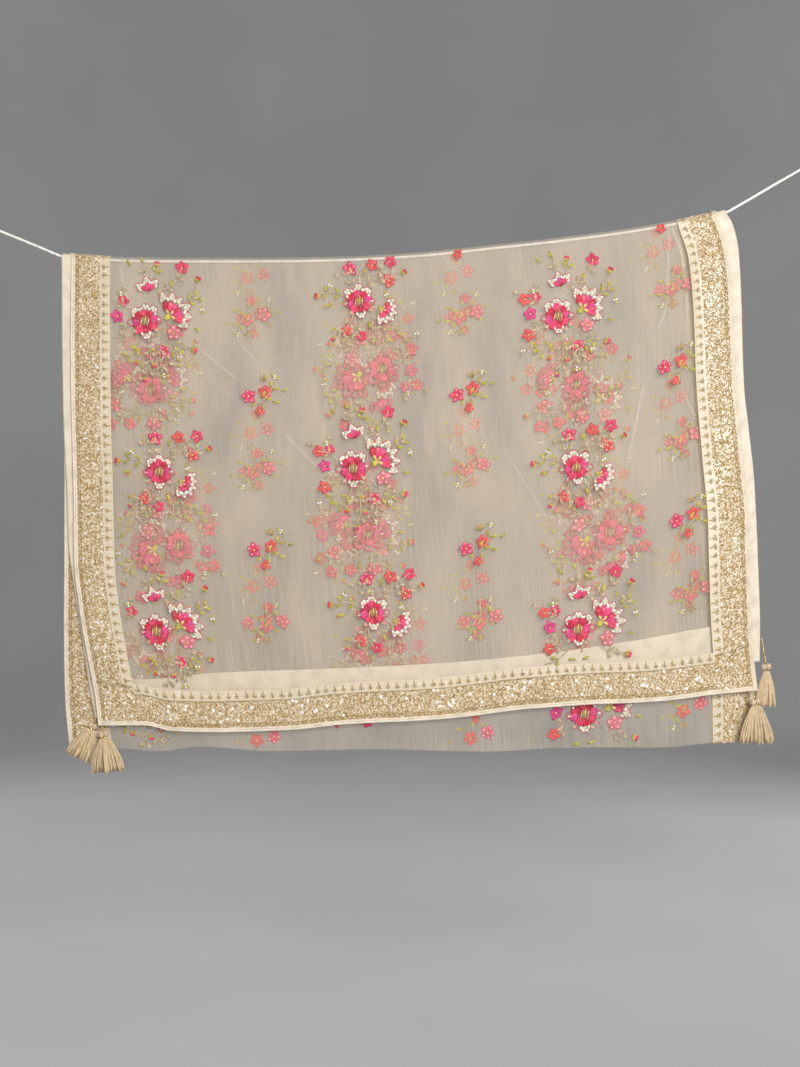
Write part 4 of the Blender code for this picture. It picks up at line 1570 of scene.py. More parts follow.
@dataclass(frozen=True)
class Bouquet:
    """A spray of flowers: what stands where, in millimetres from its middle."""

    twigs: tuple[Twig, ...]
    blossoms: tuple[Bloom, ...]
    sequined: tuple[Bloom, ...]
    buds: tuple[Bloom, ...]
    sequin_buds: tuple[Bloom, ...]
    leaves: tuple[Bloom, ...]
    rosettes: tuple[Bloom, ...] = ()
    half_roses: tuple[Bloom, ...] = ()
    looped_buds: tuple[Bloom, ...] = ()

    def work(self, spray: Spray) -> None:
        """Works the whole bouquet, the stems first and the large flowers last."""
        for flowers, worked in (
            (self.twigs, spray.twig), (self.leaves, spray.leaf), (self.buds, spray.bud),
            (self.sequin_buds, spray.sequin_bud), (self.blossoms, spray.blossom),
            (self.sequined, spray.sequined_blossom), (self.looped_buds, spray.looped_bud),
            (self.half_roses, spray.half_rose), (self.rosettes, spray.rosette)
        ):
            for flower in flowers:
                worked(flower)


FULL_BOUQUET = Bouquet(
    twigs=table(
        Twig, (-23, -7, -19, -37, 3, 1), (-19, -37, -24, -81, 5, 3), (0, -31, 2, -81, -4, 2),
        (0, -22, 40, -44, -6, 1), (24, 9, 50, 44, -7, 1), (33, 11, 57, 24, 4, 2, Floss.LEAF),
        (-9, 33, 32, 64, -9, 2), (-14, 44, -21, 72, 5, 1), (-11, 48, -4, 68, -3, 1, Floss.LEAF),
        (-41, 2, -68, 19, -5, 1), (-41, -15, -64, -29, 4, 1), (-26, -33, -57, -55, 6, 2, Floss.LEAF),
        (-38, -32, -72, -48, 4, 1, Floss.LEAF), (-40, -11, -62, -15, 3, 1), (-2, -48, 6, -69, 3, 2),
        (8, -46, 24, -56, 3, 2, Floss.LEAF)
    ),
    blossoms=table(
        Bloom, (32, 64, 0, 18, Floss.PINK), (-68, 19, 20, 17, Floss.CORAL), (-52, 20, 50, 15, Floss.PINK),
        (-61, -1, 10, 18, Floss.MAGENTA), (-64, -29, 30, 17, Floss.CORAL)
    ),
    sequined=(Bloom(17, -23, 0, 20, Floss.ROSE), Bloom(3, -49, 24, 18, Floss.PINK)),
    buds=table(
        Bloom, (50, 44, -38, 11, Floss.CRIMSON), (40, -44, -120, 11, Floss.PINK),
        (-34, -58, 160, 9, Floss.CORAL), (-12, -62, 190, 9, Floss.PINK), (-4, 65, -12, 10, Floss.PINK),
        (-24, -81, 172, 9, Floss.MAGENTA)
    ),
    sequin_buds=table(
        Bloom, (2, -78, 182, 9, Floss.LEAF), (55, 7, -80, 9, Floss.LEAF), (-70, -49, 96, 9, Floss.BEIGE),
        (22, -55, -96, 9, Floss.BEIGE), (-55, 27, 4, 9, Floss.LEAF)
    ),
    leaves=table(
        Bloom, (-22, 70, 18, 9, Floss.LEAF), (-46, 33, 60, 8, Floss.BEIGE), (-28, -47, 76, 8, Floss.LEAF),
        (-20, -47, -76, 8, Floss.LEAF), (-74, 25, 52, 9, Floss.BEIGE), (-40, 66, 30, 8, Floss.LEAF),
        (13, 37, -20, 9, Floss.LEAF), (-2, 24, -8, 9, Floss.BEIGE), (44, -17, -110, 8, Floss.LEAF),
        (28, -37, -150, 8, Floss.BEIGE)
    ),
    rosettes=(Bloom(-23, -7, 0, 23, Floss.PINK),), half_roses=(Bloom(11, 0, -48, 32, Floss.MAGENTA),),
    looped_buds=(Bloom(-16, 33, 12, 19, Floss.MAGENTA),)
)

OPEN_BOUQUET = Bouquet(
    twigs=table(
        Twig, (11, 2, 44, -24, -5, 1), (4, 17, 45, 25, 6, 2), (37, 24, 65, 33, 2, 1),
        (-3, 15, -7, 45, 4, 2), (-15, 7, -52, 13, -5, 2, Floss.LEAF), (-9, -15, -35, -41, 5, 2),
        (-7, -17, -2, -48, -4, 1), (17, 33, 52, 50, -4, 1)
    ),
    blossoms=table(
        Bloom, (27, 47, 12, 17, Floss.CORAL), (53, 49, 30, 17, Floss.PINK), (-20, -37, 0, 17, Floss.CORAL),
        (0, -46, 18, 15, Floss.PINK)
    ),
    sequined=(Bloom(-5, 45, 0, 19, Floss.PINK), Bloom(46, 24, 20, 19, Floss.CORAL)),
    buds=table(
        Bloom, (-52, 11, 78, 11, Floss.PINK), (65, 31, -64, 10, Floss.CRIMSON),
        (-37, -43, 140, 9, Floss.MAGENTA)
    ),
    sequin_buds=(Bloom(-35, 24, 52, 9, Floss.LEAF), Bloom(37, 5, -70, 9, Floss.LEAF)),
    leaves=table(
        Bloom, (-37, -1, 96, 9, Floss.LEAF), (-33, -31, 118, 8, Floss.LEAF), (10, -26, 200, 9, Floss.LEAF),
        (13, 33, -14, 9, Floss.LEAF), (-22, 33, 34, 8, Floss.BEIGE), (28, -35, 214, 8, Floss.BEIGE)
    ),
    rosettes=(Bloom(0, 0, 0, 22, Floss.PINK),), half_roses=(Bloom(31, -13, -122, 21, Floss.MAGENTA),)
)

BOOTI = Bouquet(
    twigs=(Twig(-2, -12, 22, 20, -5, 2, Floss.LEAF), Twig(6, -8, 3, -28, 2)),
    blossoms=(Bloom(9, 4, 0, 19, Floss.CORAL), Bloom(2, -21, 24, 14, Floss.CORAL)),
    sequined=(Bloom(-14, -2, 10, 19, Floss.PINK),), buds=(),
    sequin_buds=(Bloom(21, 22, -24, 9, Floss.LEAF),),
    leaves=table(
        Bloom, (-5, -8, 160, 7, Floss.LEAF), (4, -10, 200, 7, Floss.LEAF), (18, -8, -100, 8, Floss.LEAF),
        (31, 6, -70, 7, Floss.LEAF), (8, 18, 0, 8, Floss.OLD_GOLD), (8, 18, 38, 7, Floss.OLD_GOLD),
        (8, 18, -38, 7, Floss.OLD_GOLD)
    )
)


@dataclass(frozen=True)
class Scatter:
    """How one stretch's bouquets are set out, in metres on the flat cloth."""

    rows: tuple[float, ...]  # down from the top of the turn
    full_first: bool  # which of the two bouquets comes first in the first row
    between: tuple[float, ...]  # rows of small motifs
    upright: bool
    slips: tuple[float, ...] = (0.003, -0.012, 0.026)  # how much further down each column's bouquets stand
    columns: tuple[float, ...] = (0.126, 0.408, 0.697)

    OPEN_ASIDE = -0.009
    BETWEEN_COLUMNS = (0.259, 0.546, 0.832)
    BETWEEN_SLIPS = (0.003, 0.013, 0.013)

    def work(self, sewing: Sewing, kit: Kit) -> None:
        """Works every motif of the stretch.

        Args:
            sewing: the stretch's embroidery.
            kit: the embroiderer's shapes.
        """
        facing = 0.0 if self.upright else 180.0
        for row, down in enumerate(self.rows):
            for column, (across, slip) in enumerate(zip(self.columns, self.slips)):
                full = (row + column) % 2 == (0 if self.full_first else 1)
                aside = sewing.dice.uniform(-0.003, 0.003) + (0.0 if full else self.OPEN_ASIDE)
                place = (across + aside, -down - slip + sewing.dice.uniform(-0.003, 0.003))
                turn = facing + sewing.dice.uniform(-3, 3)
                (FULL_BOUQUET if full else OPEN_BOUQUET).work(Spray(sewing, kit, place, turn))
        for down in self.between:
            for across, slip in zip(self.BETWEEN_COLUMNS, self.BETWEEN_SLIPS):
                turn = facing + sewing.dice.uniform(-4, 4)
                BOOTI.work(Spray(sewing, kit, (across, -down - slip), turn))


SCATTERS = {
    "front_outer": Scatter(
        rows=(0.080, 0.290, 0.495), full_first=True, between=(-0.0225, 0.185, 0.390), upright=True
    ),
    "front_inner": Scatter(
        rows=(0.175, 0.385), full_first=False, between=(0.075, 0.280, 0.485), upright=False
    ),
    "back_inner": Scatter(
        rows=(0.174, 0.382, 0.589), full_first=True, between=(0.075, 0.280, 0.485), upright=True,
        slips=(-0.013, -0.012, 0.045), columns=(0.126, 0.408, 0.715),
    ),
    "back_outer": Scatter(
        rows=(0.1275, 0.335, 0.5425), full_first=False, between=(0.0225, 0.230, 0.4375, 0.645), upright=False
    ),
}


# ---------------------------------------------------------------- the cloth's parts
def unit_grid(name: str, columns: int, rows: int) -> tuple[Piece, np.ndarray, np.ndarray]:
    """A grid one metre square.

    Args:
        name: the piece's name.
        columns: how many columns of points it has.
        rows: how many rows.

    Returns:
        The piece, and the column and the row of each of its points, from the upper left one.
    """
    deselect()
    bpy.ops.mesh.primitive_grid_add(x_subdivisions=columns - 1, y_subdivisions=rows - 1, size=1.0)
    piece = taken(name)
    shares = mesh_points(piece)[:, :2] + 0.5
    column = np.rint(shares[:, 0] * (columns - 1)).astype(int)
    row = np.rint((1 - shares[:, 1]) * (rows - 1)).astype(int)
    return piece, column, row


def flat_grid(name: str, across: np.ndarray, down: np.ndarray, lift: np.ndarray | float = 0.0) -> Piece:
    """A grid laid out flat.

    Args:
        name: the piece's name.
        across: the columns' places across, in metres.
        down: rows of ways down, one for each column.
        lift: how far off the cloth's middle it lies, for all or for each point.

    Returns:
        The flat piece.
    """
    rows, columns = down.shape
    piece, column, row = unit_grid(name, columns, rows)
    height = np.broadcast_to(lift, down.shape)[row, column]
    move_points(piece, np.stack([across[column], -down[row, column], height], axis=1))
    return piece


def hang_piece(piece: Piece, hung: HungStretch) -> None:
    """Hangs a flat piece with its stretch, its faces turned to keep the cloth's right side out."""
    move_points(piece, hung.hang(mesh_points(piece)))
    if hung.stretch.right_side > 0:
        flip_faces(piece)


@dataclass(frozen=True)
class Net:
    """The sheer ground of one stretch: a single face thick, with its edges in under the borders."""

    hung: HungStretch
    pitch: float  # of its grid

    TURN_ROWS = 4
    FOLD_ROWS = 6
    FINE_CREASE = 0.0040
    CREASE_REACH = 0.0085
    PAST_END = 0.15  # how far the finer grid runs on past a crease's ends, over its length
    PRESSED_WIDTH = 0.0013

    def ways_down(self, across: np.ndarray) -> np.ndarray:
        """Rows of ways down for each column: over the string, down the drop, round the bottom fold."""
        shares = across / CLOTH_WIDTH
        length = self.hung.length(shares)
        foot = length - (BORDER_WIDTH - SEAM_TUCK) if self.hung.stretch.has_hem else length
        turn = np.linspace(0, 1, self.TURN_ROWS + 1)[:, None] * self.hung.quarter * np.ones_like(across)
        count = math.ceil(float(foot.max()) / self.pitch)
        steps = np.linspace(0, 1, count + 1)[1:, None]
        drop = self.hung.quarter + steps * (foot - self.hung.quarter)
        if self.hung.stretch.has_hem:
            return np.concatenate([turn, drop])
        bend = self.hung.fold_radius(shares) * math.pi / 2
        fold = length + np.linspace(0, 1, self.FOLD_ROWS + 1)[1:, None] * bend
        return np.concatenate([turn, drop, fold])

    def pressed(self, spots: np.ndarray) -> Iterator[tuple[np.ndarray, np.ndarray]]:
        """Each pressed crease in turn: how far along it and beside it rows of (x, z) lie.

        Args:
            spots: the rows.

        Yields:
            The shares of the way along the crease, and the metres beside it.
        """
        for crease in self.hung.stretch.creases:
            if crease.half_width > self.FINE_CREASE:
                continue
            run = np.array([crease.to_x - crease.x, crease.to_z - crease.z])
            length = float(np.hypot(*run))
            off = spots - (crease.x, crease.z)
            yield off @ run / length**2, (off[:, 0] * run[1] - off[:, 1] * run[0]) / length

    def refine(self, piece: Piece) -> None:
        """Divides the flat grid again along the pressed creases."""
        middles = np.array([p.center for p in piece.data.polygons])
        near = np.zeros(len(middles), bool)
        for along, aside in self.pressed(self.hung.hang(middles)[:, [0, 2]]):
            near |= (
                np.abs(aside) < self.CREASE_REACH
            ) & (along > -self.PAST_END) & (along < 1 + self.PAST_END)
        pick(piece)
        piece.data.polygons.foreach_set("select", near)
        piece.data.vertices.foreach_set("select", np.zeros(len(piece.data.vertices), bool))
        piece.data.edges.foreach_set("select", np.zeros(len(piece.data.edges), bool))
        bpy.ops.object.mode_set(mode="EDIT")
        bpy.ops.mesh.select_mode(type="FACE")
        bpy.ops.mesh.subdivide(number_cuts=2)
        bpy.ops.object.mode_set(mode="OBJECT")

    def press(self, piece: Piece) -> None:
        """Marks the pressed creases of the hung net in its "pressed" attribute, where the net's finish adds
        cover and a painted highlight.
        """
        spots = mesh_points(piece)[:, [0, 2]]
        pressed = np.zeros(len(spots))
        for along, aside in self.pressed(spots):
            line = np.exp(-((aside / self.PRESSED_WIDTH) ** 2))
            line = line * ramp(along, 0.0, 0.2) * ramp(1 - along, 0.0, 0.2)
            pressed = np.maximum(pressed, line)
        piece.data.attributes.new("pressed", "FLOAT", "POINT").data.foreach_set("value", pressed)

    def make(self, wardrobe: Wardrobe) -> Piece:
        """Makes the net.

        Args:
            wardrobe: the finishes.

        Returns:
            The hung net.
        """
        name = self.hung.stretch.name
        edge = BORDER_WIDTH - SEAM_TUCK
        columns = round((CLOTH_WIDTH - 2 * edge) / self.pitch) + 1
        across = np.linspace(edge, CLOTH_WIDTH - edge, columns)
        piece = flat_grid("sheer_net_" + name, across, self.ways_down(across))
        self.refine(piece)
        lay_uv(piece, mesh_points(piece)[:, :2])
        hang_piece(piece, self.hung)
        self.press(piece)
        piece.data.polygons.foreach_set("use_smooth", [True] * len(piece.data.polygons))
        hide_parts("net_" + name)
        return dress(piece, wardrobe.net, slot="net")


class Edge(Enum):
    """Which edge of a stretch a border runs along."""

    LEFT = "left"
    RIGHT = "right"
    HEM = "hem"


@dataclass(frozen=True)
class Border:
    """One gold band of a stretch, from its net side outwards, and what is worked on it."""

    hung: HungStretch
    edge: Edge
    crowded: float  # pitch of the metal chips of its field
    showy: bool  # whether its sequins and bootis are worked in full

    PITCH = 0.0050
    COLUMNS = 12
    WALL = 0.0008
    TUCK = 0.0006  # in under the piping
    FOOT = 0.0065  # a side band stops this far above the hem's edge
    BOOTI_PITCH = 0.0123
    BOOTI_FOOT = 0.0122  # from the net side to a booti's root
    LINE_AT = 0.0136
    FIELD_FROM = 0.0148
    FIELD_TO = 0.0428
    SCALLOP_PITCH = 0.0058
    SEQUIN_STEP = 0.0125  # of the band's run for each large sequin
    HEM_SEQUIN = 0.0026
    SIDE_SEQUIN = 0.0019
    SMALL_SEQUINS = 0.08  # the share of the field's pieces that are small sequins
    HEM_SILK = 0.70  # the share of them that are sequins or silk, with gold as the rest; higher on the hem than on a side, for more cream there, a painted light
    SIDE_SILK = 0.56
    PAINTED_SHADE_EDGE = 0.0085  # painted shade: the field's chips are darker gold so near the piping

    @property
    def name(self) -> str:
        """The end of the name of everything on this band."""
        return f"{self.edge.value}_{self.hung.stretch.name}"

    @property
    def full_run(self) -> float:
        """How long the band is, along its middle."""
        if self.edge is Edge.HEM:
            return CLOTH_WIDTH - 2 * BORDER_WIDTH
        across = BORDER_WIDTH / 2 / CLOTH_WIDTH
        shares = np.array([across if self.edge is Edge.LEFT else 1 - across])
        length = float(self.hung.cut_length(shares)[0])
        return length - self.FOOT if self.hung.stretch.has_hem else length

    def lay(self, rows: np.ndarray) -> np.ndarray:
        """Takes (out from the net side, along, height) to the flat cloth.

        Along runs down a left band, up a right one from minus its length, and rightwards along a hem.
        """
        out, along, height = rows.T
        if self.edge is Edge.LEFT:
            return np.stack([BORDER_WIDTH - out, -along, height], axis=1)
        if self.edge is Edge.RIGHT:
            return np.stack([CLOTH_WIDTH - BORDER_WIDTH + out, along, height], axis=1)
        across = BORDER_WIDTH + along
        return np.stack([across, BORDER_WIDTH - out - self.hung.length(across / CLOTH_WIDTH), height], axis=1)

    @property
    def start(self) -> float:
        """Where its run starts, along it."""
        return -self.full_run if self.edge is Edge.RIGHT else 0.0

    @property
    def corner(self) -> float:
        """How far up from a side band's foot the field covers it all, as the hem's band comes in there."""
        return BORDER_WIDTH - self.FOOT if self.edge is not Edge.HEM and self.hung.stretch.has_hem else 0.0

    @property
    def plain_start(self) -> float:
        """Where the run above that corner starts, along the band."""
        return self.start + (self.corner if self.edge is Edge.RIGHT else 0.0)

    def make(self, wardrobe: Wardrobe) -> Piece:
        """Makes the band's ground: gold outside, cream satin inside.

        Args:
            wardrobe: the finishes.

        Returns:
            The hung band.
        """
        if self.edge is Edge.HEM:
            columns = round(self.full_run / self.PITCH) + 1
            across = np.linspace(BORDER_WIDTH - self.TUCK, CLOTH_WIDTH - BORDER_WIDTH + self.TUCK, columns)
            length = self.hung.length(across / CLOTH_WIDTH)
            steps = np.linspace(BORDER_WIDTH, BAND_FROM - self.TUCK, self.COLUMNS + 1)[:, None]
            down = length - steps
        else:
            across = np.linspace(BAND_FROM - self.TUCK, BORDER_WIDTH, self.COLUMNS + 1)
            if self.edge is Edge.RIGHT:
                across = CLOTH_WIDTH - across[::-1]
            shares = across / CLOTH_WIDTH
            foot = self.hung.cut_length(shares)
            if self.hung.stretch.has_hem:
                foot = foot - BAND_FROM + self.TUCK
            down = np.linspace(0, 1, round(self.full_run / self.PITCH) + 1)[:, None] * foot
        piece = flat_grid("gold_band_" + self.name, across, down)
        spots = mesh_points(piece)
        if self.edge is Edge.LEFT:
            places = np.stack([BORDER_WIDTH - spots[:, 0], spots[:, 1]], axis=1)
        elif self.edge is Edge.RIGHT:
            places = np.stack([spots[:, 0] - (CLOTH_WIDTH - BORDER_WIDTH), spots[:, 1]], axis=1)
        else:
            lengths = self.hung.length(spots[:, 0] / CLOTH_WIDTH)
            places = np.stack([BORDER_WIDTH - lengths - spots[:, 1], spots[:, 0]], axis=1)
        if self.corner:
            low = np.abs(places[:, 1]) > self.full_run - self.corner
            places[:, 0] += np.where(low, self.FIELD_FROM + 0.0010, 0.0)
        lay_uv(piece, places)
        hang_piece(piece, self.hung)
        piece.data.materials.append(wardrobe.zari)
        piece.data.materials.append(wardrobe.satin)
        thicken(piece, self.WALL, inner_material=1)
        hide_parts(f"border_{self.name}")
        return dress(piece, slot="gold_border")

    def work(self, sewing: Sewing, kit: Kit) -> None:
        """Works the band's metal threadwork.

        Args:
            sewing: the stretch's border work.
            kit: the embroiderer's shapes.
        """
        sewing.lay = self.lay
        self.field(sewing, kit)
        self.lines(sewing)
        self.bootis(sewing, kit)
        self.scallops(sewing, kit)

    def field(self, sewing: Sewing, kit: Kit) -> None:
        """The dense middle of the band, and all of a corner."""
        self.chips(sewing, kit, (self.FIELD_FROM, self.FIELD_TO), (self.start, self.full_run))
        if self.corner:
            corner_start = self.start if self.edge is Edge.RIGHT else self.full_run - self.corner
            self.chips(sewing, kit, (0.0012, self.FIELD_FROM), (corner_start, self.corner))

    def chips(
        self, sewing: Sewing, kit: Kit, breadth: tuple[float, float], stretch: tuple[float, float]
    ) -> None:
        """Cut metal coils, each at its own turn, among cream and antique stitches and a few sequins.

        Args:
            sewing: the stretch's border work.
            kit: the embroiderer's shapes.
            breadth: from where to where across the band.
            stretch: where they start along it, and for how long they run.
        """
        dice = sewing.dice
        rows = round((breadth[1] - breadth[0]) / self.crowded)
        for _ in range(round(stretch[1] / self.SEQUIN_STEP) if self.showy else 0):
            spot = (dice.uniform(*breadth), stretch[0] + dice.uniform(0, stretch[1]))
            wide = self.HEM_SEQUIN if self.edge is Edge.HEM else self.SIDE_SEQUIN
            sewing.pad(kit.sequin, spot, dice.uniform(0, 60), (wide, wide, 0.0019), thread=Thread.SEQUIN)
        for k in range(int(stretch[1] / self.crowded)):
            for row in range(rows):
                out = breadth[0] + (row + 0.5 + 0.5 * (k % 2) * 0.9) * self.crowded
                out += dice.uniform(-0.3, 0.3) * self.crowded
                if out > breadth[1] + 0.0005:
                    continue
                along = stretch[0] + (k + 0.5 + dice.uniform(-0.35, 0.35)) * self.crowded
                kind = dice.random()
                # painted light: the hem's field takes more silk and cream than a side's, for the stronger
                # light on it
                silk_to = self.HEM_SILK if self.edge is Edge.HEM else self.SIDE_SILK
                # painted shade: so near the piping, fewer of the chips are cream and more are dark gold
                cream_to = 0.20 if out > self.FIELD_TO - self.PAINTED_SHADE_EDGE else silk_to - 0.10
                thread = Thread.SILK if kind < silk_to else Thread.GOLD
                if kind < self.SMALL_SEQUINS:
                    thread = Thread.SEQUIN
                floss = Floss.CREAM if kind < cream_to else Floss.ANTIQUE if kind > 0.46 else Floss.OLD_GOLD
                wide, long = dice.uniform(0.0006, 0.0010), dice.uniform(0.0009, 0.0019)
                size = (wide, wide if thread is Thread.SEQUIN else long, dice.uniform(0.0008, 0.0013))
                sewing.pad(kit.chip, (out, along), dice.uniform(0, 180), size, floss, thread)

    def lines(self, sewing: Sewing) -> None:
        """The fine couched lines beside the field: on both of its sides along a hem, and on its piping side
        only along a side band.
        """
        net_side = self.full_run - self.corner if self.edge is Edge.HEM else 0.0
        for out, width, start, run, floss in (
            (self.LINE_AT, 0.0010, self.plain_start, net_side, Floss.CREAM),
            (self.LINE_AT + 0.0011, 0.0009, self.plain_start, net_side, Floss.OLD_GOLD),
            (self.FIELD_TO + 0.0014, 0.0011, self.start, self.full_run, Floss.OLD_GOLD)
        ):
            if not run:
                continue
            along = start + np.linspace(0, run - 0.001, round(run / 0.006) + 1)
            sewing.cord(np.stack([np.full(len(along), out), along], axis=1), width, 0.0009, floss)

    def bootis(self, sewing: Sewing, kit: Kit) -> None:
        """A row of tall antique-gold spades on the bare cream edge, pointing to the net."""
        run = self.full_run - self.corner
        count = int(run / self.BOOTI_PITCH)
        for k in range(count):
            along = self.plain_start + (k + 0.5) * run / count + sewing.dice.uniform(-0.0009, 0.0009)
            root = self.BOOTI_FOOT
            grown = sewing.dice.uniform(0.82, 1.12)
            sewing.cord(
                [(root, along), (root - 0.0045, along), (root - 0.0092 * grown, along)], 0.0009, 0.0008,
                Floss.OLD_GOLD
            )
            for lean, long in ((-82, 0.0044), (-42, 0.0050), (0, 0.0060), (42, 0.0050), (82, 0.0044)):
                turn = 90 + lean + sewing.dice.uniform(-12, 12)
                sewing.pad(kit.leaf, (root - 0.0022, along), turn, (0.0024, grown * long, 0.0010),
                           Floss.BEIGE if lean else Floss.OLD_GOLD)
            sewing.pad(kit.dot, (root - 0.0022, along), 0, (0.0012, 0.0012, 0.0013), thread=Thread.GOLD)
            sewing.pad(kit.leaf, (root - 0.0078 * grown, along), 90, (0.0020, 0.0030, 0.0011), Floss.OLD_GOLD)
            if self.showy:
                for _ in range(7):
                    spot = (
                        sewing.dice.uniform(0.0008, root),
                        along + sewing.dice.uniform(-0.5, 0.5) * run / count
                    )
                    sewing.pad(
                        kit.chip, spot, sewing.dice.uniform(0, 180), (0.0006, 0.0011, 0.0006), Floss.BEIGE,
                        sewing.dice.choice((Thread.SILK, Thread.GOLD))
                    )
                beside = along + 0.5 * run / count
                sewing.pad(kit.dot, (root - 0.0024, beside), 0, (0.0009, 0.0009, 0.0010), thread=Thread.GOLD)
                if k % 3 == 1:
                    sewing.pad(kit.sequin, (root - 0.0056, beside), 0, (0.0012, 0.0012, 0.0012),
                               thread=Thread.SEQUIN)

    def scallops(self, sewing: Sewing, kit: Kit) -> None:
        """Small dark-gold scallops between the field and the piping."""
        count = int(self.full_run / self.SCALLOP_PITCH)
        step = self.full_run / count
        for k in range(count):
            along = self.start + (k + 0.5) * step
            line = arc_line((self.FIELD_TO + 0.0022, along), (0.42 * step, 0.0030), -90, 180, 5)
            sewing.cord(line, 0.0011, 0.0009, Floss.ANTIQUE if k % 3 else Floss.OLD_GOLD)
            if self.showy and k % 2:
                sewing.pad(kit.dot, (self.FIELD_TO + 0.0030, along), 0, (0.0009, 0.0009, 0.0011),
                           thread=Thread.GOLD)


@dataclass(frozen=True)
class Piping:
    """The double rolled satin edge along one side or the hem of a stretch."""

    hung: HungStretch
    edge: Edge

    PITCH = 0.0048
    OUT_HEIGHT = 0.0011
    IN_HEIGHT = 0.0006
    WELD = 0.00002  # points so near each other are one
    WOBBLE = 0.07  # how unevenly the rolls stand, over their height
    PROFILE = (0.0, 0.07, 0.25, 0.43, 0.50, 0.57, 0.75, 0.93, 1.0)  # shares of the way over the two rolls
    BULGE = (0.0, 0.62, 1.0, 0.60, 0.08, 0.60, 1.0, 0.62, 0.0)

    def section(self) -> np.ndarray:
        """The two rolls side by side, as rows of (in from the edge, off the cloth)."""
        over = [(p * PIPING_WIDTH, b * self.OUT_HEIGHT) for p, b in zip(self.PROFILE, self.BULGE)]
        under = [(p * PIPING_WIDTH, -b * self.IN_HEIGHT) for p, b in zip(self.PROFILE, self.BULGE)][1:-1]
        return np.array(over + under[::-1])

    def make(self, wardrobe: Wardrobe) -> Piece:
        """Makes the edge.

        Args:
            wardrobe: the finishes.

        Returns:
            The hung edge.
        """
        section = self.section()
        hung = self.hung
        if self.edge is Edge.HEM:
            run = CLOTH_WIDTH - 2 * BAND_FROM
        else:
            run = float(hung.length(np.array([0.0]))[0])
        rings = round(run / self.PITCH) + 1
        t = np.linspace(0, 1, rings)[:, None]
        columns = len(section) + 1
        into, off = np.concatenate([section, section[:1]]).T
        wobble = 1 + self.WOBBLE * np.sin(
            41 * t * run / 0.06 + 5 * into / PIPING_WIDTH
        ) * np.sin(17 * t * run / 0.11)
        height = off * wobble
        if self.edge is Edge.HEM:
            across = (BAND_FROM + t * run) * np.ones(columns)
            down = hung.length(across / CLOTH_WIDTH) - into
        else:
            across = into + t * 0 if self.edge is Edge.LEFT else CLOTH_WIDTH - into + t * 0
            shares = across / CLOTH_WIDTH
            down = t * hung.cut_length(shares)
        piece, column, row = unit_grid(f"piping_roll_{self.edge.value}_{hung.stretch.name}", columns, rings)
        ring = row if self.edge is Edge.LEFT else rings - 1 - row
        flat = np.stack([across[ring, column], -down[ring, column], height[ring, column]], axis=1)
        round_it = np.concatenate([[0], np.cumsum(np.hypot(*np.diff([into, off], axis=1)))])
        lay_uv(piece, np.stack([round_it[column], ring * run / (rings - 1)], axis=1))
        move_points(piece, flat)
        with all_in_hand(piece):
            bpy.ops.mesh.remove_doubles(threshold=self.WELD)
            bpy.ops.mesh.fill_holes(sides=0)
            bpy.ops.mesh.normals_make_consistent(inside=False)
        hang_piece(piece, hung)
        smooth(piece, 70)
        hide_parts(f"piping_{self.edge.value}_{hung.stretch.name}")
        return dress(piece, wardrobe.satin, slot="satin")


@dataclass(frozen=True)
class Facing:
    """The plain satin strip that covers a border's wrong side, rippled where it was sewn down."""

    hung: HungStretch
    edge: Edge

    PITCH = 0.0045
    COLUMNS = 14
    WALL = 0.0005
    PUCKER = 0.00035
    OVERLAP = 0.0004  # past the band, on to the net

    def make(self, wardrobe: Wardrobe) -> Piece:
        """Makes the strip.

        Args:
            wardrobe: the finishes.

        Returns:
            The hung strip.
        """
        hung = self.hung
        inner = BORDER_WIDTH + self.OVERLAP
        if self.edge is Edge.HEM:
            columns = round((CLOTH_WIDTH - 2 * inner) / self.PITCH) + 1
            across = np.linspace(inner, CLOTH_WIDTH - inner, columns)
            steps = np.linspace(inner, PIPING_SHOWING, self.COLUMNS + 1)[:, None]
            down = hung.length(across / CLOTH_WIDTH) - steps
        else:
            across = np.linspace(PIPING_SHOWING, inner, self.COLUMNS + 1)
            if self.edge is Edge.RIGHT:
                across = CLOTH_WIDTH - across[::-1]
            foot = hung.length(across / CLOTH_WIDTH) - PIPING_SHOWING
            down = np.linspace(0, 1, round(float(foot.max()) / self.PITCH) + 1)[:, None] * foot
        along, aside = (across + 0 * down, down) if self.edge is Edge.HEM else (down, across + 0 * down)
        pucker = np.sin(along * 240 + 2 * np.sin(along * 37)) * (0.6 + 0.4 * np.sin(along * 71 + aside * 90))
        piece = flat_grid(
            f"cream_facing_{self.edge.value}", across, down, -FACING_LIFT + self.PUCKER * pucker
        )
        lay_uv(piece, mesh_points(piece)[:, :2])
        hang_piece(piece, hung)
        thicken(piece, self.WALL)
        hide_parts(f"facing_{self.edge.value}")
        return dress(piece, wardrobe.satin, slot="satin")


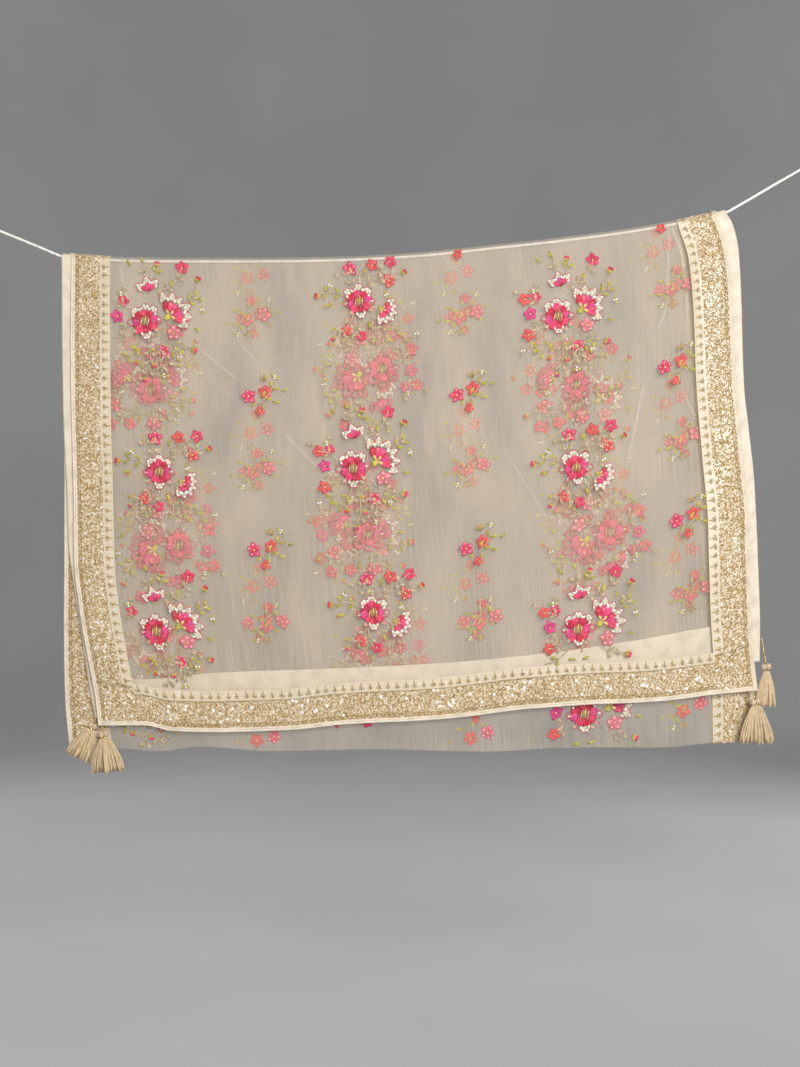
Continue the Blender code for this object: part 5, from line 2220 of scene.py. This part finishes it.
@dataclass
class ClothStretch:
    """Everything of one hanging stretch: net, borders, piping, facings and needlework."""

    stretch: Stretch
    pitch: float
    crowded: float
    showy: bool
    faced: bool
    pieces: list[Piece] = field(default_factory=list)

    def edges(self) -> list[Edge]:
        """The edges that this stretch has."""
        return [Edge.LEFT, Edge.RIGHT, *([Edge.HEM] if self.stretch.has_hem else [])]

    def make(self, wardrobe: Wardrobe, kit: Kit) -> Piece:
        """Makes the whole stretch.

        Args:
            wardrobe: the finishes.
            kit: the embroiderer's shapes.

        Returns:
            The net, which everything else is sewn to.
        """
        hung = HungStretch(self.stretch)
        name = self.stretch.name
        net = Net(hung, self.pitch).make(wardrobe)
        metal = (wardrobe.silk, wardrobe.gold, wardrobe.sequin)
        work = Sewing("zari_work_" + name, hung, self.stretch.seed)
        for edge in self.edges():
            border = Border(hung, edge, self.crowded, self.showy)
            self.pieces.append(border.make(wardrobe))
            border.work(work, kit)
            self.pieces.append(Piping(hung, edge).make(wardrobe))
            if self.faced:
                self.pieces.append(Facing(hung, edge).make(wardrobe))
        self.pieces.append(work.finish(*metal, slot="gold_border"))
        flowers = Sewing("flowers_" + name, hung, self.stretch.seed + 1, turned=hung.shows_wrong_side)
        SCATTERS[name].work(flowers, kit)
        self.pieces.append(flowers.finish(*metal))
        return net


# ---------------------------------------------------------------- tassels
class SkirtRow(NamedTuple):
    """The outline of a tassel's skirt, as shares of its length and of half its width."""

    down: float
    out: float


SKIRT_PROFILE = table(
    SkirtRow, (0.00, 0.10), (0.05, 0.26), (0.16, 0.40), (0.40, 0.62), (0.72, 0.86), (1.00, 0.97)
)


@dataclass(frozen=True)
class Tassel:
    """A bead thread, a wrapped double knob and a skirt of threads, hanging from a corner."""

    name: str
    stretch: Stretch
    across: float
    from_hem: float
    aside: float
    below: float
    sway: float
    thread: float
    skirt_lean: float
    skirt_length: float
    skirt_width: float
    skirt_flatness: float
    seed: int

    BEAD_PITCH = 0.0030
    BEAD_RADIUS = 0.00155
    KNOB_HEIGHT = 0.0095
    SKIRT_GAP = 0.00045
    LOCKS = 26
    LOCK_STRANDS = 6
    STRAND_WIDTH = 0.0015
    ROOT = 0.0012  # how far up inside the knob the threads start
    CORE = 0.60
    # painted shade: the skirt's core is darker, to read as the shade in the gaps between its locks
    CORE_PAINTED_SHADE = (0.46, 0.38, 0.28)
    LOBE = (0.0037, 0.0037, 0.0042)  # half of its width, depth and height

    @property
    def down(self) -> Vector:
        """The way that the beads and the knob hang."""
        return Vector((math.sin(math.radians(self.sway)), 0.0, -math.cos(math.radians(self.sway))))

    @property
    def top(self) -> Vector:
        """Where it is sewn to the cloth's edge."""
        hung = HungStretch(self.stretch)
        across = np.array([self.across])
        drop = float(hung.drop_length(across)[0])
        share = np.array([1 - self.from_hem / drop])
        x = hung.x_at(across, share)
        top = string_z(x)
        z = top - share * (top - hung.hem(across))
        y = STRING_Y + self.stretch.side * hung.depth(x, top - z, hung.outer)
        return Vector((float(x[0]) + self.aside, float(y[0]), float(z[0]) - self.below))

    @property
    def beads(self) -> int:
        """The number of its beads."""
        return max(1, round(self.thread / self.BEAD_PITCH))

    @property
    def knob_middle(self) -> Vector:
        """The middle of its knob."""
        reach = self.beads * self.BEAD_PITCH + SEAM_GAP + self.KNOB_HEIGHT / 2
        return self.top + self.down * reach

    @property
    def skirt_top(self) -> Vector:
        """Where its threads come out of the knob."""
        return self.knob_middle + self.down * (self.KNOB_HEIGHT / 2 + self.SKIRT_GAP)

    def hung_at(self, piece: Piece, place: Vector, degrees: float) -> Piece:
        """Puts a piece that was made hanging from the origin at its place and lean."""
        piece.location = place
        piece.rotation_euler = (0.0, -math.radians(degrees), 0.0)
        settle(piece)
        return piece

    def make_beads(self, wardrobe: Wardrobe) -> Piece:
        """Threads the gold beads, each one a little flattened where it meets the next."""
        deselect()
        for bead in range(self.beads):
            bpy.ops.mesh.primitive_uv_sphere_add(
                segments=16, ring_count=10, radius=self.BEAD_RADIUS,
                location=(0.0, 0.0, -(bead + 0.5) * self.BEAD_PITCH)
            )
            bead_piece = taken(f"bead_{bead}")
            bead_piece.scale = (1.0, 1.0, 0.93)
            if bead:
                first.select_set(True)
                bpy.context.view_layer.objects.active = first
                bpy.ops.object.join()
            else:
                settle(bead_piece)
                first = bead_piece
            deselect()
        first.name = first.data.name = "gold_beads_" + self.name
        self.hung_at(first, self.top, self.sway)
        smooth(first)
        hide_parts("beads_" + self.name)
        return dress(first, wardrobe.bead, slot="gold_bead")

    def make_knob(self, wardrobe: Wardrobe) -> Piece:
        """Two wound lobes side by side; the tie between them and the skirt is made on its own."""
        lobes = []
        for side in (-1, 1):
            deselect()
            bpy.ops.mesh.primitive_uv_sphere_add(segments=40, ring_count=18, radius=1.0)
            lobe = taken(f"lobe_{side}")
            points = mesh_points(lobe)
            turn = np.arctan2(points[:, 1], points[:, 0])
            wound = 1 + 0.03 * np.sin(10 * turn + 4 * points[:, 2]) * (1 - points[:, 2] ** 2)
            points *= wound[:, None] * np.array(self.LOBE)
            points[:, 0] += side * 0.84 * self.LOBE[0]
            move_points(lobe, points)
            lay_uv(lobe, np.stack([turn * 0.003, points[:, 2]], axis=1))
            lay_floss(lobe, np.ones((len(points), 4)))
            lobes.append(lobe)
        deselect()
        lobes[0].select_set(True)
        lobes[1].select_set(True)
        bpy.context.view_layer.objects.active = lobes[0]
        bpy.ops.object.join()
        knob = lobes[0]
        knob.name = knob.data.name = "wound_knob_" + self.name
        self.hung_at(knob, self.knob_middle, self.sway)
        smooth(knob)
        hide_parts("knob_" + self.name)
        return dress(knob, wardrobe.tassel, slot="tassel_thread")

    def make_tie(self, wardrobe: Wardrobe) -> Piece:
        """The gold thread wound round the head of the skirt."""
        deselect()
        bpy.ops.mesh.primitive_torus_add(
            major_segments=28, minor_segments=10, major_radius=0.0026, minor_radius=0.0010
        )
        tie = taken("gold_tie_" + self.name)
        points = mesh_points(tie)
        turn = np.arctan2(points[:, 1], points[:, 0])
        points[:, 2] = points[:, 2] * 1.25 + 0.00022 * np.sin(10 * turn)
        points[:, 1] *= 0.8
        move_points(tie, points)
        self.hung_at(tie, self.skirt_top + Vector((0.0, 0.0, 0.0006)), (self.sway + self.skirt_lean) / 2)
        smooth(tie)
        return dress(tie, wardrobe.bead, slot="gold_bead")

    def width_at(self, down: np.ndarray) -> np.ndarray:
        """Half the skirt's width at shares of its length."""
        curve = SmoothCurve([row.down for row in SKIRT_PROFILE], [row.out for row in SKIRT_PROFILE])
        return curve(down) * self.skirt_width / 2

    def skirt_frame(self) -> tuple[np.ndarray, np.ndarray, np.ndarray]:
        """Where the skirt's threads start, and the skirt's own ways down and aside."""
        lean = math.radians(self.skirt_lean)
        down = np.array([math.sin(lean), 0.0, -math.cos(lean)])
        aside = np.array([math.cos(lean), 0.0, math.sin(lean)])
        return np.array(self.skirt_top) - self.ROOT * down, down, aside

    def lay_lock(self, skirt: Gathered, lock: int) -> None:
        """Lays one lock of the skirt: its middle strands stand out, its outer ones sink and are painted
        darker and warmer, as shade.

        Args:
            skirt: the threads gathered so far.
            lock: its number round the skirt.
        """
        dice = skirt.dice
        start, down, aside = self.skirt_frame()
        steps = np.array([0.0, 0.06, 0.16, 0.34, 0.54, 0.74, 0.90, 1.0])
        middle = lock + dice.uniform(-0.22, 0.22)
        sway, phase, speed = dice.uniform(0.0005, 0.0012), dice.uniform(0, 6.28), dice.uniform(4, 7)
        reached = self.skirt_length * dice.uniform(0.90, 0.985)
        stand = dice.uniform(0.92, 1.0)
        for place in np.linspace(-0.40, 0.40, self.LOCK_STRANDS):
            turn = 2 * math.pi * (middle + place + dice.uniform(-0.04, 0.04)) / self.LOCKS
            sunk = (place / 0.40) ** 2
            half = self.width_at(steps) * stand * (1 - 0.15 * sunk) * 0.97
            drift = sway * np.sin(speed * steps + phase) * steps + 0.0004 * dice.uniform(-1, 1) * steps
            line = (
                start
                + (steps * reached * (1 - 0.035 * sunk * dice.random()))[:, None] * down
                + (half * math.cos(turn) + drift)[:, None] * aside
                + (half * math.sin(turn) * self.skirt_flatness)[:, None] * AWAY
            )
            taper = np.array([0.55, 0.70, 0.85, 1.0, 1.0, 1.0, 0.85, 0.40])
            wide = self.STRAND_WIDTH / 2 * taper * dice.uniform(0.85, 1.15)
            sides = 2 * math.pi * (np.arange(4) + dice.random()) / 4
            ring = np.stack([np.cos(sides), np.sin(sides)], axis=1)
            # painted shade: the sunk outer strands are darker and warmer
            tint = dice.uniform(0.94, 1.06) * (1.06 - 0.40 * sunk)
            skirt.tube(
                line, wide[:, None, None] * ring, aside, AWAY,
                (tint, tint * (1 - 0.04 * sunk), tint * (1 - 0.12 * sunk))
            )

    def make_skirt(self, wardrobe: Wardrobe) -> Piece:
        """Locks of thread fanned from the knob round a core painted dark as the shade between them, ragged at
        their ends.
        """
        skirt = Gathered("skirt_threads_" + self.name, self.seed)
        start, down, aside = self.skirt_frame()
        for lock in range(self.LOCKS):
            self.lay_lock(skirt, lock)
        rows = np.array([0.02, 0.12, 0.30, 0.55, 0.80, 0.93])
        turn = 2 * math.pi * np.arange(4 * self.LOCKS) / (4 * self.LOCKS)
        core = self.width_at(rows)[:, None, None] * self.CORE * np.stack(
            [np.cos(turn), self.skirt_flatness * np.sin(turn)], axis=1
        ) * (1 + 0.05 * np.sin(self.LOCKS * turn))[:, None]
        line = start + (rows * self.skirt_length)[:, None] * down
        skirt.tube(line, core, aside, AWAY, self.CORE_PAINTED_SHADE)
        piece = skirt.finish(wardrobe.tassel, slot="tassel_thread")
        face_out(piece)
        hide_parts("skirt_" + self.name)
        return piece

    def make(self, wardrobe: Wardrobe) -> list[Piece]:
        """Makes the tassel.

        Args:
            wardrobe: the finishes.

        Returns:
            Its pieces.
        """
        return [
            self.make_beads(wardrobe), self.make_knob(wardrobe), self.make_tie(wardrobe),
            self.make_skirt(wardrobe)
        ]


TASSELS = (
    Tassel(
        name="inner_left", stretch=FRONT_INNER, across=0.002, from_hem=0.0, aside=0.0, below=0.0006,
        sway=-24.0, thread=0.0060, skirt_lean=-24.0, skirt_length=0.046, skirt_width=0.044,
        skirt_flatness=0.28, seed=61
    ),
    Tassel(
        name="outer_left", stretch=FRONT_OUTER, across=0.0065, from_hem=0.0, aside=0.0, below=0.0005,
        sway=10.0, thread=0.0075, skirt_lean=6.0, skirt_length=0.049, skirt_width=0.049,
        skirt_flatness=0.34, seed=62
    ),
    Tassel(
        name="inner_right", stretch=FRONT_INNER, across=1.0, from_hem=0.030, aside=0.0021, below=0.0,
        sway=9.0, thread=0.0320, skirt_lean=-2.0, skirt_length=0.052, skirt_width=0.029,
        skirt_flatness=0.42, seed=63
    ),
    Tassel(
        name="outer_right", stretch=FRONT_OUTER, across=0.992, from_hem=0.0, aside=0.0, below=0.0006,
        sway=16.0, thread=0.0090, skirt_lean=-1.0, skirt_length=0.054, skirt_width=0.049,
        skirt_flatness=0.34, seed=64
    )
)


# ---------------------------------------------------------------- the string and what holds it
@dataclass(frozen=True)
class String:
    """The cotton string, taut between its two wall eyes and knotted behind each."""

    PITCH = 0.0028
    SIDES = 15
    STRANDS = 3
    TWIST = 0.0115  # a whole turn of the twist
    GROOVE = 0.10
    DIAMETER = 2 * STRING_RADIUS

    def line(self) -> np.ndarray:
        """The points that its middle follows."""
        count = round((RIGHT_EYE_X + 2 * STRING_TUCK) / self.PITCH)
        x = np.linspace(-STRING_TUCK, RIGHT_EYE_X + STRING_TUCK, count)
        return np.stack([x, np.full_like(x, STRING_Y), string_z(x)], axis=1)

    def make(self, wardrobe: Wardrobe) -> Piece:
        """Lays the twisted string along its line.

        Args:
            wardrobe: the finishes.

        Returns:
            The string.
        """
        line = self.line()
        run = np.gradient(line, axis=0)
        run /= np.linalg.norm(run, axis=1)[:, None]
        turn = 2 * math.pi * np.arange(self.SIDES) / self.SIDES
        lobes = self.STRANDS * (turn[None, :] - 2 * math.pi * along_line(line)[:, None] / self.TWIST)
        radius = STRING_RADIUS * (1 - self.GROOVE + self.GROOVE * np.abs(np.cos(lobes / 2)))
        sections = radius[:, :, None] * np.stack([np.cos(turn), np.sin(turn)], axis=1)
        string = Gathered("twisted_string", 5)
        string.tube(line, sections, np.cross(run, AWAY), AWAY)
        piece = string.finish(wardrobe.cotton, slot="cotton")
        face_out(piece)
        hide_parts("string")
        return piece

    def make_knot(self, side: str, wardrobe: Wardrobe) -> Piece:
        """Ties the knot behind one eye.

        Args:
            side: left or right.
            wardrobe: the finishes.

        Returns:
            The knot.
        """
        outward = -1 if side == "left" else 1
        eye_x = 0.0 if side == "left" else RIGHT_EYE_X
        middle_x = eye_x + outward * KNOT_OFFSET
        middle = np.array([middle_x, STRING_Y, float(string_z(middle_x))])
        t = np.linspace(0, 2 * math.pi, 97)[:-1]
        loop = np.stack([
            0.50 * np.cos(3 * t),
            (np.sin(t) + 2 * np.sin(2 * t)) / 3,
            (np.cos(t) - 2 * np.cos(2 * t)) / 3,
        ], axis=1) * (KNOT_RADIUS - 0.94 * STRING_RADIUS)
        line = middle + loop
        line = np.concatenate([line, line[:1]])
        run = np.gradient(line, axis=0)
        run[0] = run[-1] = line[1] - line[-2]
        run /= np.linalg.norm(run, axis=1)[:, None]
        away = np.cross(run, (line - middle))
        away /= np.linalg.norm(away, axis=1)[:, None]
        aside = np.cross(away, run)
        turn = 2 * math.pi * np.arange(10) / 10
        ring = STRING_RADIUS * 0.92 * np.stack([np.cos(turn), np.sin(turn)], axis=1)
        knot = Gathered("string_knot_" + side, 6)
        knot.tube(line, np.broadcast_to(ring, (len(line), 10, 2)), aside, away)
        piece = knot.finish(wardrobe.cotton, slot="cotton")
        face_out(piece)
        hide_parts("knot_" + side)
        return piece

    def declare(self) -> None:
        """Works out the points of the string's middle, and does nothing more with them."""
        line = self.line()


# ---------------------------------------------------------------- the studio
@dataclass(frozen=True)
class Lamp:
    """One soft light of the studio."""

    name: str
    place: tuple[float, float, float]
    at: tuple[float, float, float]
    size: float
    watts: float

    def hang(self) -> None:
        """Hangs the light and aims it."""
        deselect()
        bpy.ops.object.light_add(type="AREA", location=self.place)
        lamp = bpy.context.object
        lamp.name = lamp.data.name = self.name
        lamp.data.shape = "DISK"
        lamp.data.size = self.size
        lamp.data.energy = self.watts
        aim = Vector(self.at) - Vector(self.place)
        lamp.rotation_euler = aim.to_track_quat("-Z", "Y").to_euler()
        deselect()


@dataclass(frozen=True)
class Studio:
    """The camera, the pale round floor with its cove, and the lights."""

    FRAME_HEIGHT = 1.430  # what the camera sees, from top to bottom, at the string's plane
    CAMERA_AWAY = 1.600
    MIDDLE = (0.5655, STRING_Y, -0.4188)
    SENSOR = 36.0
    FLOOR_Z = -1.42
    FLOOR_RADIUS = 5.2
    COVE = 0.9
    WALL_TOP = 3.4

    def place_camera(self) -> None:
        """Stands the camera square to the cloth."""
        deselect()
        x, y, z = self.MIDDLE
        bpy.ops.object.camera_add(location=(x, y - self.CAMERA_AWAY, z), rotation=(math.radians(90), 0, 0))
        camera = bpy.context.object
        camera.name = camera.data.name = "studio_camera"
        camera.data.sensor_width = self.SENSOR
        camera.data.lens = self.SENSOR * self.CAMERA_AWAY / self.FRAME_HEIGHT
        camera.data.clip_start = 0.05
        bpy.context.scene.camera = camera
        deselect()

    def backdrop(self) -> Piece:
        """A round floor that curves up into a pale wall all about."""
        deselect()
        bpy.ops.mesh.primitive_circle_add(vertices=96, radius=self.FLOOR_RADIUS - self.COVE, fill_type="NGON")
        floor = taken("pale_floor")
        floor.location = (self.MIDDLE[0], self.MIDDLE[1], self.FLOOR_Z)
        settle(floor)
        bpy.ops.object.mode_set(mode="EDIT")
        bpy.ops.mesh.select_mode(type="EDGE")
        bpy.ops.mesh.select_all(action="SELECT")
        radius = self.FLOOR_RADIUS - self.COVE
        steps = 12
        for step in range(1, steps + 1):
            angle = math.pi / 2 * step / steps
            next_radius = self.FLOOR_RADIUS - self.COVE + self.COVE * math.sin(angle)
            rise = self.COVE * (math.cos(angle - math.pi / 2 / steps) - math.cos(angle))
            bpy.ops.mesh.extrude_edges_move(TRANSFORM_OT_translate={"value": (0, 0, rise)})
            bpy.ops.transform.resize(value=(next_radius / radius, next_radius / radius, 1.0))
            radius = next_radius
        bpy.ops.mesh.extrude_edges_move(
            TRANSFORM_OT_translate={"value": (0, 0, self.WALL_TOP - self.FLOOR_Z - self.COVE)}
        )
        bpy.ops.object.mode_set(mode="OBJECT")
        log.info("floor: %d faces", len(floor.data.polygons))
        return floor

    def light(self) -> None:
        """A large soft key from the front, a fill, and soft lights behind for the far side."""
        world = bpy.data.worlds.new("studio_world")
        bpy.context.scene.world = world
        world.use_nodes = True
        background = world.node_tree.nodes["Background"]
        background.inputs["Color"].default_value = (1.0, 0.985, 0.96, 1.0)
        background.inputs["Strength"].default_value = 0.46
        middle = (self.MIDDLE[0], self.MIDDLE[1], self.MIDDLE[2] + 0.05)
        for lamp in (
            Lamp("key_light", (1.15, -2.45, 0.2), middle, 1.1, 65),
            Lamp("fill_light", (-2.2, -2.6, 0.3), middle, 1.6, 6),
            Lamp("rear_light", (-1.6, 2.6, 1.3), middle, 1.5, 42),
            Lamp("rear_fill_light", (3.0, 2.4, 0.2), middle, 1.5, 28)
        ):
            lamp.hang()
        bpy.context.scene.view_settings.view_transform = "Standard"

    def finish_floor(self, floor: Piece) -> None:
        """Paints the floor and its wall."""
        graph = Graph("pale_floor_finish")
        mottle = graph.noise(graph.object_place(), 1.3, 3.0)
        graph.put(
            graph.shader,
            Base_Color=graph.ramp(mottle, (0.3, (0.47, 0.475, 0.48)), (0.7, (0.52, 0.525, 0.53))),
            Roughness=0.9
        )
        floor.data.materials.append(graph.material)
        floor.data.polygons.foreach_set("use_smooth", [True] * len(floor.data.polygons))
        floor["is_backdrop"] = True


# ---------------------------------------------------------------- all of it
CLOTH_STRETCHES = (
    ClothStretch(FRONT_OUTER, pitch=0.0044, crowded=0.0034, showy=True, faced=False),
    ClothStretch(FRONT_INNER, pitch=0.0058, crowded=0.0048, showy=False, faced=True),
    ClothStretch(BACK_INNER, pitch=0.0060, crowded=0.0043, showy=True, faced=False),
    ClothStretch(BACK_OUTER, pitch=0.0054, crowded=0.0038, showy=True, faced=False)
)


def finish_fittings(wardrobe: Wardrobe) -> None:
    """Gives the wall plates and the eyes their steel."""
    for name in ("eye_left", "eye_right", "plate_left", "plate_right"):
        fitting = bpy.data.objects[name]
        fitting.data.materials.clear()
        fitting.data.materials.append(wardrobe.steel)


def sheet_facts(hung: HungStretch) -> tuple[float, float]:
    """The cut of a stretch's net: its width and its length, with the seam allowance in the borders."""
    hidden = BORDER_WIDTH - SEAM_TUCK
    length = float(hung.cut_length(np.array([0.5]))[0]) - (hidden if hung.stretch.has_hem else 0.0)
    return CLOTH_WIDTH - 2 * hidden, length


def main() -> None:
    """Builds the scene."""
    logging.basicConfig(level=logging.INFO, format="%(message)s")
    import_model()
    studio = Studio()
    studio.place_camera()
    wardrobe = Wardrobe.stocked()
    kit = Kit.stocked()

    string = String()
    cord = string.make(wardrobe)
    knots = [string.make_knot(side, wardrobe) for side in ("left", "right")]
    string.declare()
    finish_fittings(wardrobe)

    tassels = {tassel: tassel.make(wardrobe) for tassel in TASSELS}
    for cloth in CLOTH_STRETCHES:
        net = cloth.make(wardrobe, kit)
        sheet_facts(HungStretch(cloth.stretch))

    floor = studio.backdrop()
    studio.finish_floor(floor)
    studio.light()
    triangles = sum(
        sum(len(polygon.vertices) - 2 for polygon in piece.data.polygons)
        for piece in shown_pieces()
        if piece.type == "MESH"
    )
    log.info("%d triangles in all", triangles)


if __name__ == "__main__":
    main()
